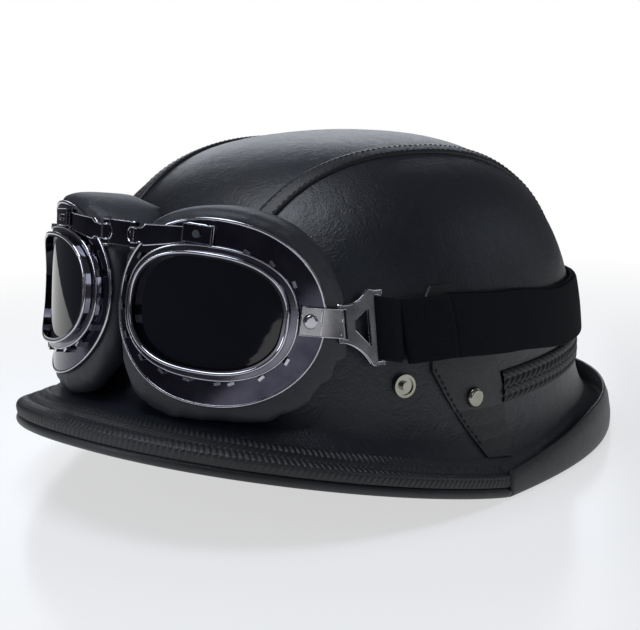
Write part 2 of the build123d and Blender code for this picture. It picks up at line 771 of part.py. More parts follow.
# ---------------------------------------------------------------- side bracket and buckle
BRACKET_HALF = 5.7
BAR_RADIUS = 1.1
LOOP_WALL = 0.9
loop_radius = BAR_RADIUS + 0.07
rivet_across = 41.0
rivet_depth = sqrt(PLATE_RADIUS ** 2 - rivet_across ** 2) - LENS_RADIUS
rivet_lean = asin(rivet_across / PLATE_RADIUS)
tangent = (cos(rivet_lean), -sin(rivet_lean))
outward = (sin(rivet_lean), cos(rivet_lean))


def on_bracket(run, lift):
    return (rivet_across + run * tangent[0] + lift * outward[0],
            rivet_depth + run * tangent[1] + lift * outward[1])


def world(point, rise):
    return unit_centre + unit_across * point[0] + unit_normal * point[1] + unit_rise * rise


# the buckle leans with the dome, so its loop is turned part of the way from the unit's own upright
loop_world = world(LOOP_AT, BRACKET_V)
bar_world = dome_point(*STRAP_BAR, 3.6)
above_bar = dome_point(STRAP_BAR[0], STRAP_BAR[1] + 7)
below_bar = dome_point(STRAP_BAR[0], STRAP_BAR[1] - 7)
dome_lean = (above_bar - below_bar).normalized()
loop_up = (unit_rise * 0.42 + dome_lean * 0.58).normalized()
buckle_run = bar_world - loop_world
buckle_normal = buckle_run.cross(loop_up).normalized() * -1
if buckle_normal.X < 0:
    buckle_normal = buckle_normal * -1
buckle_x = loop_up.cross(buckle_normal).normalized()
BUCKLE = Plane(origin=loop_world, x_dir=buckle_x, z_dir=buckle_normal)
BAR_X = buckle_run.dot(buckle_x)
BAR_SKEW = buckle_run.dot(BUCKLE.y_dir) / BAR_X

leg_start = world(on_bracket(3.8, 0.6), BRACKET_V)
leg_finish = loop_world + buckle_normal * (loop_radius + LOOP_WALL / 2)
leg = (leg_finish - leg_start).normalized()
bracket_plane = Plane(origin=unit_centre + unit_rise * BRACKET_V, x_dir=unit_across,
                      z_dir=unit_across.cross(unit_normal))
with BuildPart() as bracket_left:
    with BuildSketch(bracket_plane):
        with BuildLine():
            Polyline(on_bracket(-4.6, 0.15), on_bracket(4.4, 0.15), on_bracket(4.4, 1.05),
                     on_bracket(-4.6, 1.05), close=True)
        make_face()
    extrude(amount=BRACKET_HALF, both=True)
    with BuildSketch(Plane(origin=leg_start, x_dir=leg.cross(unit_rise), z_dir=leg)):
        Rectangle(LOOP_WALL, 2 * BRACKET_HALF)
    with BuildSketch(Plane(origin=leg_finish, x_dir=leg.cross(loop_up), z_dir=leg)):
        Rectangle(LOOP_WALL, 2 * BRACKET_HALF)
    loft()
    with BuildSketch(Plane(origin=loop_world, x_dir=buckle_x, z_dir=loop_up)):
        Circle(loop_radius + LOOP_WALL)
    extrude(amount=BRACKET_HALF, both=True)
    with BuildSketch(Plane(origin=loop_world, x_dir=buckle_x, z_dir=loop_up)):
        Circle(loop_radius)
    extrude(amount=BRACKET_HALF + 4, both=True, mode=Mode.SUBTRACT)
save("side_bracket_left", bracket_left.part)
save("side_bracket_right", mirrored(bracket_left.part))

rivet_normal = unit_normal * cos(rivet_lean) + unit_across * sin(rivet_lean)
rivet_origin = at_unit(rivet_across, BRACKET_V, PLATE_RADIUS + 1.15)
with BuildPart() as bracket_rivet_left:
    with BuildSketch(Plane(origin=rivet_origin, x_dir=unit_rise, z_dir=rivet_normal)):
        Circle(3.0)
    extrude(amount=1.6)
    fillet(bracket_rivet_left.edges().filter_by(GeomType.CIRCLE).sort_by(Axis.X)[-1], 1.2)
save("bracket_rivet_left", bracket_rivet_left.part)
save("bracket_rivet_right", mirrored(bracket_rivet_left.part))


def on_buckle(x, y):
    """Point of the buckle's outline, skewed so that its bar meets the strap's middle."""
    return (x, y + BAR_SKEW * x)


HOOK_X = BAR_X - 2.9      # rear edge of the buckle's frame
HOOK_Y = 14.6
with BuildPart() as buckle_left:
    with BuildSketch(BUCKLE.offset(-0.9)):
        with BuildLine():
            Polyline(on_buckle(0, -7.6), on_buckle(0, -6.2), on_buckle(2.8, -6.2), on_buckle(2.8, 6.2),
                     on_buckle(0, 6.2), on_buckle(0, 7.6))
            Spline(on_buckle(0, 7.6), on_buckle(5.5, 8.4), on_buckle(HOOK_X - 4.2, 12.6),
                   on_buckle(HOOK_X - 2.2, HOOK_Y + 0.8))
            Polyline(on_buckle(HOOK_X - 2.2, HOOK_Y + 0.8), on_buckle(HOOK_X, HOOK_Y + 0.8),
                     on_buckle(HOOK_X, -HOOK_Y - 0.8), on_buckle(HOOK_X - 2.2, -HOOK_Y - 0.8))
            Spline(on_buckle(HOOK_X - 2.2, -HOOK_Y - 0.8), on_buckle(HOOK_X - 4.2, -12.6),
                   on_buckle(5.5, -8.4), on_buckle(0, -7.6))
        make_face()
        with BuildLine():
            Polyline(on_buckle(6.6, -2.0), on_buckle(6.6, 2.0), on_buckle(HOOK_X - 2.3, 8.2),
                     on_buckle(HOOK_X - 2.3, -8.2), close=True)
        make_face(mode=Mode.SUBTRACT)
    extrude(amount=1.8)
    with BuildSketch(Plane(origin=loop_world, x_dir=buckle_x, z_dir=loop_up)):
        Circle(BAR_RADIUS)
    extrude(amount=7.6, both=True)
    for side in (-1, 1):
        arm_at = on_buckle((HOOK_X - 1 + BAR_X + 0.9) / 2, side * HOOK_Y)
        with BuildSketch(BUCKLE.offset(-0.9)):
            with Locations(arm_at):
                Rectangle(BAR_X + 1.9 - HOOK_X, 1.6)
        extrude(amount=1.8)
    with BuildSketch(Plane(origin=bar_world, x_dir=buckle_x, z_dir=loop_up)):
        Circle(BAR_RADIUS)
    extrude(amount=HOOK_Y, both=True)
save("strap_buckle_left", buckle_left.part)
save("strap_buckle_right", mirrored(buckle_left.part))

# ---------------------------------------------------------------- pads
PAD_CLEAR = 1.9
pad_keep_out = dome_solid(PAD_CLEAR, 20)
with BuildPart() as pad_left:
    with BuildSketch(FACE):
        with BuildLine():
            pad_oval = oval(PLATE_HALF[0] + PAD_GROW, PLATE_HALF[1] + PAD_GROW, 2.15)
            Spline(*[(x + PLATE_SHIFT, y) for x, y in pad_oval], periodic=True)
        make_face()
        with BuildLine():
            Spline(*oval(OPENING[0] + 2, OPENING[1] + 2, 2.5), periodic=True)
        make_face(mode=Mode.SUBTRACT)
    extrude(amount=62, both=True)
    with BuildSketch(ROUND):
        Circle(plate_back - 0.1)
    extrude(amount=70, both=True, mode=Mode.INTERSECT)
    add(pad_keep_out, mode=Mode.SUBTRACT)
    # room for the hinge, the link between the units and the bracket's loop
    with BuildSketch(Plane(origin=hinge, x_dir=(1, 0, 0), z_dir=unit_up)):
        Circle(BARREL + 1.4)
    extrude(amount=8, both=True, mode=Mode.SUBTRACT)
    with BuildSketch(link_face.offset(-2.4)):
        Rectangle(2 * HINGE[0] + 4, 14)
    extrude(amount=12, mode=Mode.SUBTRACT)
    with BuildSketch(Plane(origin=loop_world, x_dir=buckle_x, z_dir=loop_up)):
        Circle(loop_radius + LOOP_WALL + 1.3)
    extrude(amount=9, both=True, mode=Mode.SUBTRACT)
    with BuildSketch(Plane.XY.offset(52)):
        with Locations((0.6 + 100, -100)):
            Rectangle(200, 200)
    extrude(amount=100, mode=Mode.INTERSECT)
save("pad_left", pad_left.part)
save("pad_right", mirrored(pad_left.part))

# ---------------------------------------------------------------- goggle strap
STRAP_CENTRE = [(-110, 79.5), (-85, 79.5), (-45, 78.2), (0, 73.5), (45, 67.4), (90, 65.6), (150, 65.5)]
STRAP_SPLIT = -41.0       # where the strap's end piece meets the main band, seen from the side
STRAP_FRONT = -65.0
REAR_ARC = 25.0           # half angle of the round stretch at the rear
REAR_CENTRE_Y = 2.3
REAR_RADIUS = 125.0
REAR_MIDDLE = 65.5
REAR_LEAN = 3.7 / 27


def strap_block(half_width, front, rear, shift=0.0):
    """Side view block of the strap between two y values."""
    front_middle = STRAP_CENTRE[0][1] + shift
    rear_middle = STRAP_CENTRE[-1][1] + shift
    with BuildPart() as block:
        with BuildSketch(Plane.YZ):
            with BuildLine():
                Spline(*[(y, z - half_width + shift) for y, z in STRAP_CENTRE])
                Line((150, rear_middle - half_width), (150, rear_middle + half_width))
                Spline(*[(y, z + half_width + shift) for y, z in STRAP_CENTRE[::-1]])
                Line((-110, front_middle + half_width), (-110, front_middle - half_width))
            make_face()
        extrude(amount=200)
        with BuildSketch(Plane.YZ):
            with Locations(((front + rear) / 2, 75)):
                Rectangle(rear - front, 150)
        extrude(amount=200, mode=Mode.INTERSECT)
    return block.part


def rear_wedge():
    """Upright wedge behind the dome that holds the round stretch."""
    far = 400.0
    reach = far * sin(radians(REAR_ARC))
    with BuildPart() as wedge:
        with BuildSketch(Plane.XY):
            with BuildLine():
                Polyline((0, REAR_CENTRE_Y), (reach, REAR_CENTRE_Y + far * cos(radians(REAR_ARC))),
                         (-reach, REAR_CENTRE_Y + far * cos(radians(REAR_ARC))), close=True)
            make_face()
        extrude(amount=200)
    return wedge.part


def rear_round(low, high, near, far, start, end):
    """Leaning band about the upright rear axis, between two angles from straight back."""
    def edge(z, offset):
        return (REAR_RADIUS + offset - REAR_LEAN * (z - REAR_MIDDLE), z)
    axis = Axis((0, REAR_CENTRE_Y, 0), (0, 0, 1))
    out = (sin(radians(start)), cos(radians(start)), 0)
    with BuildPart() as band:
        with BuildSketch(Plane(origin=(0, REAR_CENTRE_Y, 0), x_dir=out, z_dir=(out[1], -out[0], 0))):
            with BuildLine():
                Polyline(edge(low, near), edge(low, far), edge(high, far), edge(high, near), close=True)
            make_face()
        revolve(axis=axis, revolution_arc=start - end)
    return band.part


half_strap = STRAP_WIDTH / 2
wedge = rear_wedge()
band_layer = dome_layer(STRAP_OFFSET + STRAP_THICK, STRAP_OFFSET, 20)
with BuildPart() as band_side:
    add(band_layer)
    add(strap_block(half_strap, STRAP_SPLIT, 150), mode=Mode.INTERSECT)
    add(wedge, mode=Mode.SUBTRACT)
with BuildPart() as strap_band:
    add(band_side.part)
    mirror(band_side.part, about=Plane.YZ)
    add(rear_round(REAR_MIDDLE - half_strap, REAR_MIDDLE + half_strap, STRAP_OFFSET,
                   STRAP_OFFSET + STRAP_THICK, REAR_ARC, -REAR_ARC))
save("strap_band", strap_band.part)

tail_layer = dome_layer(TAIL_OFFSET + TAIL_THICK, TAIL_OFFSET, 20)
with BuildPart() as strap_tail:
    add(tail_layer)
    add(strap_block(half_strap, STRAP_SPLIT + 2, 150, shift=0.8), mode=Mode.INTERSECT)
    add(wedge, mode=Mode.SUBTRACT)
    add(rear_round(REAR_MIDDLE - half_strap + 0.8, REAR_MIDDLE + half_strap + 0.8, TAIL_OFFSET,
                   TAIL_OFFSET + TAIL_THICK, REAR_ARC, -REAR_ARC))
save("strap_tail", strap_tail.part)

with BuildPart() as front_piece:
    add(band_layer)
    add(strap_block(half_strap, STRAP_FRONT, STRAP_SPLIT - 0.6), mode=Mode.INTERSECT)
save("strap_front_left", front_piece.part)
save("strap_front_right", mirrored(front_piece.part))

end_here = dome_point(STRAP_FRONT - 1.8, 79.4, STRAP_OFFSET + STRAP_THICK / 2)
to_end = end_here - bar_world
end_run = to_end.dot(buckle_x)
end_lift = to_end.dot(buckle_normal)
loop_plane = Plane(origin=bar_world, x_dir=buckle_x, z_dir=loop_up)
bar_inner = BAR_RADIUS + 0.15
bar_outer = bar_inner + 1.05
lift_sign = 1 if loop_plane.y_dir.dot(buckle_normal) > 0 else -1
with BuildPart() as strap_loop_left:
    with BuildSketch(loop_plane):
        Circle(bar_outer)
        with BuildLine():
            Polyline((0, bar_outer), (end_run, lift_sign * end_lift + 0.9),
                     (end_run, lift_sign * end_lift - 0.9), (0, -bar_outer), close=True)
        make_face()
        Circle(bar_inner, mode=Mode.SUBTRACT)
    extrude(amount=half_strap, both=True)
save("strap_loop_left", strap_loop_left.part)
save("strap_loop_right", mirrored(strap_loop_left.part))

SLIDER_HALF_ANGLE = 4.0
SLIDER_BAR = 2.4
slider_low = REAR_MIDDLE - half_strap - 0.5
slider_high = REAR_MIDDLE + half_strap + 1.3
slider_near = 0.35
slider_belt = 1.6         # the lower bar stays clear of the rear belt
slider_far = STRAP_OFFSET + STRAP_THICK + 1.5
with BuildPart() as strap_slider:
    add(rear_round(slider_high, slider_high + SLIDER_BAR, slider_near, slider_far,
                   SLIDER_HALF_ANGLE, -SLIDER_HALF_ANGLE))
    add(rear_round(slider_low - SLIDER_BAR, slider_low + 0.01, slider_belt, slider_far,
                   SLIDER_HALF_ANGLE, -SLIDER_HALF_ANGLE))
    add(rear_round(slider_low, slider_low + 0.8, slider_near, STRAP_OFFSET - 0.5,
                   SLIDER_HALF_ANGLE, -SLIDER_HALF_ANGLE))
    for start in (SLIDER_HALF_ANGLE, -SLIDER_HALF_ANGLE + 1.2):
        add(rear_round(slider_low - SLIDER_BAR, slider_high + SLIDER_BAR, slider_far - 1.1, slider_far,
                       start, start - 1.2))
    add(rear_round(slider_low, slider_high + SLIDER_BAR, slider_near, TAIL_OFFSET - 0.4, 0.7, -0.7))
save("strap_slider", strap_slider.part)
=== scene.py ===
import bmesh
import bpy
from math import asin, atan2, cos, degrees, hypot, pi, radians, sin, sqrt
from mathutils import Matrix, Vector


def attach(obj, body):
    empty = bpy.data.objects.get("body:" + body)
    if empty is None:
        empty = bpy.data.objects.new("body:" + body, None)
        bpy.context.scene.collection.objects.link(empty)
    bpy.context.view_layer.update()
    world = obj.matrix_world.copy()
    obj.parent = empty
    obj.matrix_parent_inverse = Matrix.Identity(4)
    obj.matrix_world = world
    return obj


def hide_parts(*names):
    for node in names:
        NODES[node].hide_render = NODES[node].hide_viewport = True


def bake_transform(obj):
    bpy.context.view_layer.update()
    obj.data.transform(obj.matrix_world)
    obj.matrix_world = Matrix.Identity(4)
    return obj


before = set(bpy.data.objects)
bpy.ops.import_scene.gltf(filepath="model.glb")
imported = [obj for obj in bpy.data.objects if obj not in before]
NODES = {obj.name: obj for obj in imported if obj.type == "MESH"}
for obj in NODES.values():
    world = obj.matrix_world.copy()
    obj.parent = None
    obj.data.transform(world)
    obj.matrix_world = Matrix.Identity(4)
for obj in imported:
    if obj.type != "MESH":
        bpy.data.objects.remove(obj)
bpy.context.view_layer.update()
MM = 0.001

# ---------------------------------------------------------------- sizes shared with the CAD, in mm
HALF_WIDTH, FRONT, REAR, TOP, BASE = 106.4, 125.6, 128.0, 151.7, 34.2
PLAN_POWER, CROWN = 2.3, 0.76
RIM_HALF_WIDTH, RIM_FRONT, RIM_REAR, RIM_POWER = 121.0, 163.0, 160.0, 2.22
PEAK_LIFT, LIFT_START, LIFT_POWER, RIM_HEIGHT = 34.6, 22.0, 1.08, 10.0
JOIN, JOIN_RISE, JOIN_POWER = 38.0, 14.0, 1.6
LIP_INSET, FLARE_SWEEP, FLARE_DROP, FLARE_LIFT = 4.2, 0.3, 0.25, 0.75
SEAM_X, SEAM_SPREAD, WELT_WIDTH = 53.0, 0.11, 7.5
FLAP_ANGLE = 80.0
STRAP_HALF = 13.3
STRAP_PATH = [(-110, 79.5), (-85, 79.5), (-45, 78.2), (0, 73.5), (45, 67.4), (90, 65.6), (150, 65.5)]


# ---------------------------------------------------------------- surfaces
def plan_radius(angle, half_width, front, rear, power):
    """Radius of the plan outline at an angle from straight ahead."""
    s, c = abs(sin(radians(angle))), cos(radians(angle))
    return ((s / half_width) ** power + (abs(c) / (front if c > 0 else rear)) ** power) ** (-1 / power)


def narrowing(z, grow=0.0):
    rise = min(max((z - BASE) / (TOP + grow - BASE), 0.0), 1.0)
    return (1 - rise ** (2 / CROWN)) ** (CROWN / 2)


def dome_radius(angle, z, grow=0.0):
    return plan_radius(angle, HALF_WIDTH + grow, FRONT + grow, REAR + grow, PLAN_POWER) * narrowing(z, grow)


def rim_radius(angle):
    return plan_radius(angle, RIM_HALF_WIDTH, RIM_FRONT, RIM_REAR, RIM_POWER)


def rim_low(angle):
    forward = max(rim_radius(angle) * cos(radians(angle)) - LIFT_START, 0.0)
    return PEAK_LIFT * (forward / (RIM_FRONT - LIFT_START)) ** LIFT_POWER


def join_height(angle):
    y = -dome_radius(angle, 0) * cos(radians(angle))
    return JOIN + JOIN_RISE * (max(-y, 0.0) / FRONT) ** JOIN_POWER


def out(angle, radius, z):
    return Vector((radius * sin(radians(angle)), -radius * cos(radians(angle)), z))


def flare_point(angle, t, lift=0.0):
    """Point on the flare, from the dome at t = 0 to the rim at t = 1."""
    top = join_height(angle)
    wall = dome_radius(angle, top)
    edge = rim_radius(angle) - LIP_INSET
    low = rim_low(angle) + RIM_HEIGHT
    a, b, c = (1 - t) ** 2, 2 * t * (1 - t), t * t
    radius = a * (wall + lift) + b * (wall + FLARE_SWEEP * (edge - wall) + FLARE_LIFT * lift) + c * edge
    height = a * top + b * (low + FLARE_DROP * (top - low) + FLARE_LIFT * lift) + c * (low + lift)
    return out(angle, radius, height)


def dome_side(y, z, grow=0.0):
    """Point of the dome's left side at a given y and z."""
    k = narrowing(z, grow)
    length = ((FRONT if y < 0 else REAR) + grow) * k
    rest = max(1 - (abs(y) / length) ** PLAN_POWER, 0.0)
    return Vector(((HALF_WIDTH + grow) * k * rest ** (1 / PLAN_POWER), y, z))


def dome_top(x, y):
    """Point of the dome above a given x and y, with its outward normal."""
    def height(px, py):
        length = FRONT if py < 0 else REAR
        size = ((abs(px) / HALF_WIDTH) ** PLAN_POWER + (abs(py) / length) ** PLAN_POWER) ** (1 / PLAN_POWER)
        rise = max(1 - min(size, 1.0) ** (2 / CROWN), 0.0) ** (CROWN / 2)
        return BASE + (TOP - BASE) * rise
    here = Vector((x, y, height(x, y)))
    along_x = Vector((0.5, 0, height(x + 0.25, y) - height(x - 0.25, y)))
    along_y = Vector((0, 0.5, height(x, y + 0.25) - height(x, y - 0.25)))
    return here, along_x.cross(along_y).normalized()


# ---------------------------------------------------------------- mesh helpers
def mesh_piece(name, points, faces, material, uvs=None, smooth=True):
    mesh = bpy.data.meshes.new(name)
    mesh.from_pydata([Vector(p) * MM for p in points], [], faces)
    if uvs:
        layer = mesh.uv_layers.new(name="UVMap")
        for loop in mesh.loops:
            layer.data[loop.index].uv = uvs[loop.vertex_index]
    for polygon in mesh.polygons:
        polygon.use_smooth = smooth
    mesh.materials.append(material)
    obj = bpy.data.objects.new(name, mesh)
    bpy.context.collection.objects.link(obj)
    return obj


def grid(name, rows, material, wrap_u=False, wrap_v=False, unit=1.0):
    """A sheet through rows of points; wrap_v joins the ends of each row, wrap_u the first and last rows."""
    wide = len(rows[0])
    points = [p for row in rows for p in row]
    faces = []
    for i in range(len(rows) if wrap_u else len(rows) - 1):
        for j in range(wide if wrap_v else wide - 1):
            a, b = i * wide + j, i * wide + (j + 1) % wide
            c, d = ((i + 1) % len(rows)) * wide + (j + 1) % wide, ((i + 1) % len(rows)) * wide + j
            faces.append((a, b, c, d))
    if wrap_v and not wrap_u:
        faces.append(tuple(range(wide))[::-1])
        faces.append(tuple(range(len(points) - wide, len(points))))
    uvs, run = [], 0.0
    for i, row in enumerate(rows):
        run += (Vector(row[0]) - Vector(rows[i - 1][0])).length if i else 0.0
        side = 0.0
        for j, p in enumerate(row):
            side += (Vector(p) - Vector(row[j - 1])).length if j else 0.0
            uvs.append((run * unit * MM, side * unit * MM))
    return mesh_piece(name, points, faces, material, uvs)


def tube(name, path, radius, material, closed=False, sides=10):
    rows = []
    count = len(path)
    turns = [2 * pi * k / sides for k in range(sides)]
    for i, p in enumerate(path):
        before = path[i - 1] if (closed or i) else path[0]
        after = path[(i + 1) % count] if (closed or i < count - 1) else path[-1]
        ahead = (Vector(after) - Vector(before)).normalized()
        side = ahead.cross(Vector((0, 0, 1)))
        side = side.normalized() if side.length > 0.05 else ahead.cross(Vector((1, 0, 0))).normalized()
        other = ahead.cross(side)
        rows.append([Vector(p) + side * radius * cos(turn) + other * radius * sin(turn) for turn in turns])
    return grid(name, rows, material, wrap_u=closed, wrap_v=True)


STITCH_RINGS, STITCH_SIDES = 5, 6


def stitches(name, path, normals, material, length=2.6, pitch=3.8, thick=0.42):
    """A row of thread stitches, each a small rounded bar that sinks at both ends."""
    points, faces = [], []
    run, marks = 0.0, []
    for i in range(len(path) - 1):
        step = (path[i + 1] - path[i]).length
        while run < step:
            t = run / step
            marks.append((path[i].lerp(path[i + 1], t), (path[i + 1] - path[i]).normalized(), normals[i]))
            run += pitch
        run -= step
    for middle, along, normal in marks:
        side = along.cross(normal).normalized()
        first = len(points)
        for k in range(STITCH_RINGS):
            t = k / (STITCH_RINGS - 1) - 0.5
            rise = thick * (1 - (2 * t) ** 2) * 0.75
            centre = middle + along * length * t + normal * rise
            size = thick * (0.35 + 0.65 * (1 - (2 * t) ** 4))
            for q in range(STITCH_SIDES):
                turn = 2 * pi * q / STITCH_SIDES
                points.append(centre + side * size * cos(turn) + normal * size * 0.7 * sin(turn))
        for k in range(STITCH_RINGS - 1):
            ring = first + STITCH_SIDES * k
            for q in range(STITCH_SIDES):
                a, b = ring + q, ring + (q + 1) % STITCH_SIDES
                faces.append((a, b, b + STITCH_SIDES, a + STITCH_SIDES))
        end = first + STITCH_SIDES * (STITCH_RINGS - 1)
        faces.append(tuple(first + q for q in range(STITCH_SIDES))[::-1])
        faces.append(tuple(end + q for q in range(STITCH_SIDES)))
    return mesh_piece(name, points, faces, material)


def mirror_piece(obj, name):
    """A copy of a piece on the other side of the helmet."""
    mesh = obj.data.copy()
    mesh.name = name
    for vertex in mesh.vertices:
        vertex.co.x = -vertex.co.x
    mesh.flip_normals()
    copy = bpy.data.objects.new(name, mesh)
    bpy.context.collection.objects.link(copy)
    return copy


# ---------------------------------------------------------------- materials
def material(name, rough=0.5, metallic=0.0, base=(0.05, 0.05, 0.05), specular=0.5):
    mat = bpy.data.materials.new(name)
    mat.use_nodes = True
    shader = mat.node_tree.nodes["Principled BSDF"]
    shader.inputs["Base Color"].default_value = (*base, 1)
    shader.inputs["Roughness"].default_value = rough
    shader.inputs["Metallic"].default_value = metallic
    shader.inputs["Specular IOR Level"].default_value = specular
    return mat, mat.node_tree, shader


def node(tree, kind, **values):
    made = tree.nodes.new(kind)
    for key, value in values.items():
        if key in made.inputs:
            made.inputs[key].default_value = value
        else:
            setattr(made, key, value)
    return made


def coordinates(tree, output="Object"):
    return node(tree, "ShaderNodeTexCoord").outputs[output]


def spread(tree, source, low, high, start=0.3, end=0.7):
    """Maps a texture onto a range of colours."""
    ramp = node(tree, "ShaderNodeValToRGB")
    tree.links.new(source, ramp.inputs["Fac"])
    ramp.color_ramp.elements[0].position = start
    ramp.color_ramp.elements[1].position = end
    ramp.color_ramp.elements[0].color = (*low, 1)
    ramp.color_ramp.elements[1].color = (*high, 1)
    return ramp.outputs["Color"]


def roughness_from(tree, shader, source, low, high):
    remap = node(tree, "ShaderNodeMapRange")
    remap.inputs["To Min"].default_value = low
    remap.inputs["To Max"].default_value = high
    tree.links.new(source, remap.inputs["Value"])
    tree.links.new(remap.outputs["Result"], shader.inputs["Roughness"])


def bump_from(tree, shader, sources):
    """Chains height textures, each with a strength and a depth in metres."""
    last = None
    for source, strength, depth in sources:
        bump = node(tree, "ShaderNodeBump")
        bump.inputs["Strength"].default_value = strength
        bump.inputs["Distance"].default_value = depth
        tree.links.new(source, bump.inputs["Height"])
        if last:
            tree.links.new(last, bump.inputs["Normal"])
        last = bump.outputs["Normal"]
    tree.links.new(last, shader.inputs["Normal"])


def leather(name, low, high, grain=620, crease=0.5, rough=(0.38, 0.55)):
    mat, tree, shader = material(name)
    place = coordinates(tree)
    cells = node(tree, "ShaderNodeTexVoronoi", feature="DISTANCE_TO_EDGE", Scale=grain)
    creases = node(tree, "ShaderNodeTexNoise", Scale=170.0, Detail=6.0, Roughness=0.6, Distortion=1.2)
    clouds = node(tree, "ShaderNodeTexNoise", Scale=22.0, Detail=3.0)
    for texture in (cells, creases, clouds):
        tree.links.new(place, texture.inputs["Vector"])
    tree.links.new(spread(tree, clouds.outputs["Fac"], low, high), shader.inputs["Base Color"])
    roughness_from(tree, shader, creases.outputs["Fac"], *rough)
    bump_from(tree, shader, [(cells.outputs["Distance"], 0.35, 0.0004),
                             (creases.outputs["Fac"], crease, 0.0006)])
    return mat


def woven(name, low, high, pitch=900, rough=0.9, sheen=0.02):
    """Fabric with a plain weave that follows the piece's own length and width."""
    mat, tree, shader = material(name, rough, specular=0.08)
    place = coordinates(tree, "UV")
    warp = node(tree, "ShaderNodeTexWave", bands_direction="X", Scale=pitch / 6.28)
    weft = node(tree, "ShaderNodeTexWave", bands_direction="Y", Scale=pitch / 6.28)
    fuzz = node(tree, "ShaderNodeTexNoise", Scale=800.0, Detail=4.0)
    for texture in (warp, weft, fuzz):
        tree.links.new(place, texture.inputs["Vector"])
    tree.links.new(spread(tree, fuzz.outputs["Fac"], low, high), shader.inputs["Base Color"])
    shader.inputs["Sheen Weight"].default_value = sheen
    shader.inputs["Sheen Roughness"].default_value = 0.4
    bump_from(tree, shader, [(warp.outputs["Fac"], 0.35, 0.0003), (weft.outputs["Fac"], 0.5, 0.0004),
                             (fuzz.outputs["Fac"], 0.3, 0.0003)])
    return mat


def metal(name, low, high, rough=(0.06, 0.16)):
    mat, tree, shader = material(name, metallic=1.0)
    place = coordinates(tree)
    smear = node(tree, "ShaderNodeTexNoise", Scale=90.0, Detail=5.0)
    fine = node(tree, "ShaderNodeTexNoise", Scale=1500.0, Detail=2.0)
    for texture in (smear, fine):
        tree.links.new(place, texture.inputs["Vector"])
    tree.links.new(spread(tree, smear.outputs["Fac"], low, high), shader.inputs["Base Color"])
    roughness_from(tree, shader, smear.outputs["Fac"], *rough)
    bump_from(tree, shader, [(fine.outputs["Fac"], 0.04, 0.0001)])
    return mat


def moulded(name, low, high, rough=(0.35, 0.5), scale=400.0):
    mat, tree, shader = material(name)
    place = coordinates(tree)
    speck = node(tree, "ShaderNodeTexNoise", Scale=scale, Detail=3.0)
    tree.links.new(place, speck.inputs["Vector"])
    tree.links.new(spread(tree, speck.outputs["Fac"], low, high), shader.inputs["Base Color"])
    roughness_from(tree, shader, speck.outputs["Fac"], *rough)
    bump_from(tree, shader, [(speck.outputs["Fac"], 0.15, 0.0003)])
    return mat


LEATHER = leather("cover_leather", (0.003, 0.004, 0.008), (0.006, 0.009, 0.017), rough=(0.36, 0.5))
TRIM = leather("trim_leather", (0.004, 0.005, 0.007), (0.007, 0.008, 0.012), grain=900, crease=0.3)
LACING = leather("lacing_leather", (0.006, 0.007, 0.009), (0.011, 0.012, 0.016), grain=1100, crease=0.25,
                 rough=(0.4, 0.6))
PAD_LEATHER = leather("pad_leather", (0.015, 0.017, 0.024), (0.023, 0.026, 0.035), grain=800, crease=0.35,
                      rough=(0.48, 0.62))
THREAD = moulded("thread", (0.010, 0.011, 0.014), (0.02, 0.021, 0.027), (0.6, 0.8), 900.0)
STRAP = woven("strap_elastic", (0.004, 0.005, 0.007), (0.008, 0.009, 0.013), 5200)
WEBBING = woven("chin_webbing", (0.006, 0.006, 0.007), (0.013, 0.013, 0.015), 3600)
LINER = woven("liner_knit", (0.012, 0.012, 0.014), (0.022, 0.022, 0.026), 3000)
FOAM = moulded("foam_beads", (0.012, 0.012, 0.013), (0.03, 0.03, 0.033), (0.7, 0.9), 260.0)
PLASTIC = moulded("black_plastic", (0.008, 0.008, 0.009), (0.016, 0.016, 0.018))
CHROME = metal("chrome", (0.34, 0.34, 0.38), (0.55, 0.55, 0.6))
# painted reflection: the plate, bridge pieces and bezel get a darkened chrome colour that stands for the dark
# surroundings they reflect
CHROME_PAINTED_DARK_REFLECTION = metal("chrome_painted_dark_reflection", (0.035, 0.035, 0.055), (0.075, 0.073, 0.10), (0.05, 0.12))
CHROME_PAINTED_DIM_REFLECTION = metal("chrome_painted_dim_reflection", (0.10, 0.10, 0.13), (0.19, 0.185, 0.225), (0.05, 0.12))
STEEL_GREY = metal("brushed_steel", (0.30, 0.30, 0.32), (0.46, 0.46, 0.48), (0.16, 0.3))
NICKEL = metal("nickel", (0.26, 0.26, 0.22), (0.38, 0.38, 0.33), (0.14, 0.26))
STEEL = moulded("painted_steel", (0.01, 0.01, 0.011), (0.02, 0.02, 0.022))
GLASS = moulded("smoked_lens", (0.0015, 0.002, 0.005), (0.0025, 0.003, 0.007), (0.02, 0.05), 60.0)


def paint(mat, *names):
    for name in names:
        sides = [f"{name}_{side}" for side in ("left", "right")] if f"{name}_left" in NODES else [name]
        for side in sides:
            mesh = NODES[side].data
            mesh.materials.clear()
            mesh.materials.append(mat)


paint(PLASTIC, "shell", "rim_edging", "strap_slider")
paint(PLASTIC, "chin_buckle_socket", "chin_buckle_tongue", "chin_adjuster")
paint(FOAM, "foam_liner")
paint(LINER, "comfort_liner")
paint(WEBBING, "chin_anchor", "chin_strap")
paint(STEEL, "chin_hanger")
paint(NICKEL, "snap_stud", "flap_rivet")
# painted dark reflection on the goggle plate, bridge pieces and bezel
paint(CHROME_PAINTED_DARK_REFLECTION, "goggle_plate", "bridge_link", "bridge_arm", "arm_clip")
paint(CHROME_PAINTED_DIM_REFLECTION, "bezel")
paint(STEEL_GREY, "side_bracket", "strap_buckle")
paint(CHROME, "bezel_tabs", "bridge_pins", "arm_rivet", "bracket_rivet")
paint(GLASS, "lens")
paint(TRIM, "side_flap")

# ---------------------------------------------------------------- leather cover
SWEEP = [2 * i for i in range(180)]
SEAM_LINE = WELT_WIDTH / 2
DOME_ROWS, FLARE_ROWS = 47, 17
PUCKER_HEIGHT, SMOOTHING_PASSES = 0.35, 10
PANELS = {"centre_panel": "cover_centre", "side_panel_left": "cover_left", "side_panel_right": "cover_right"}


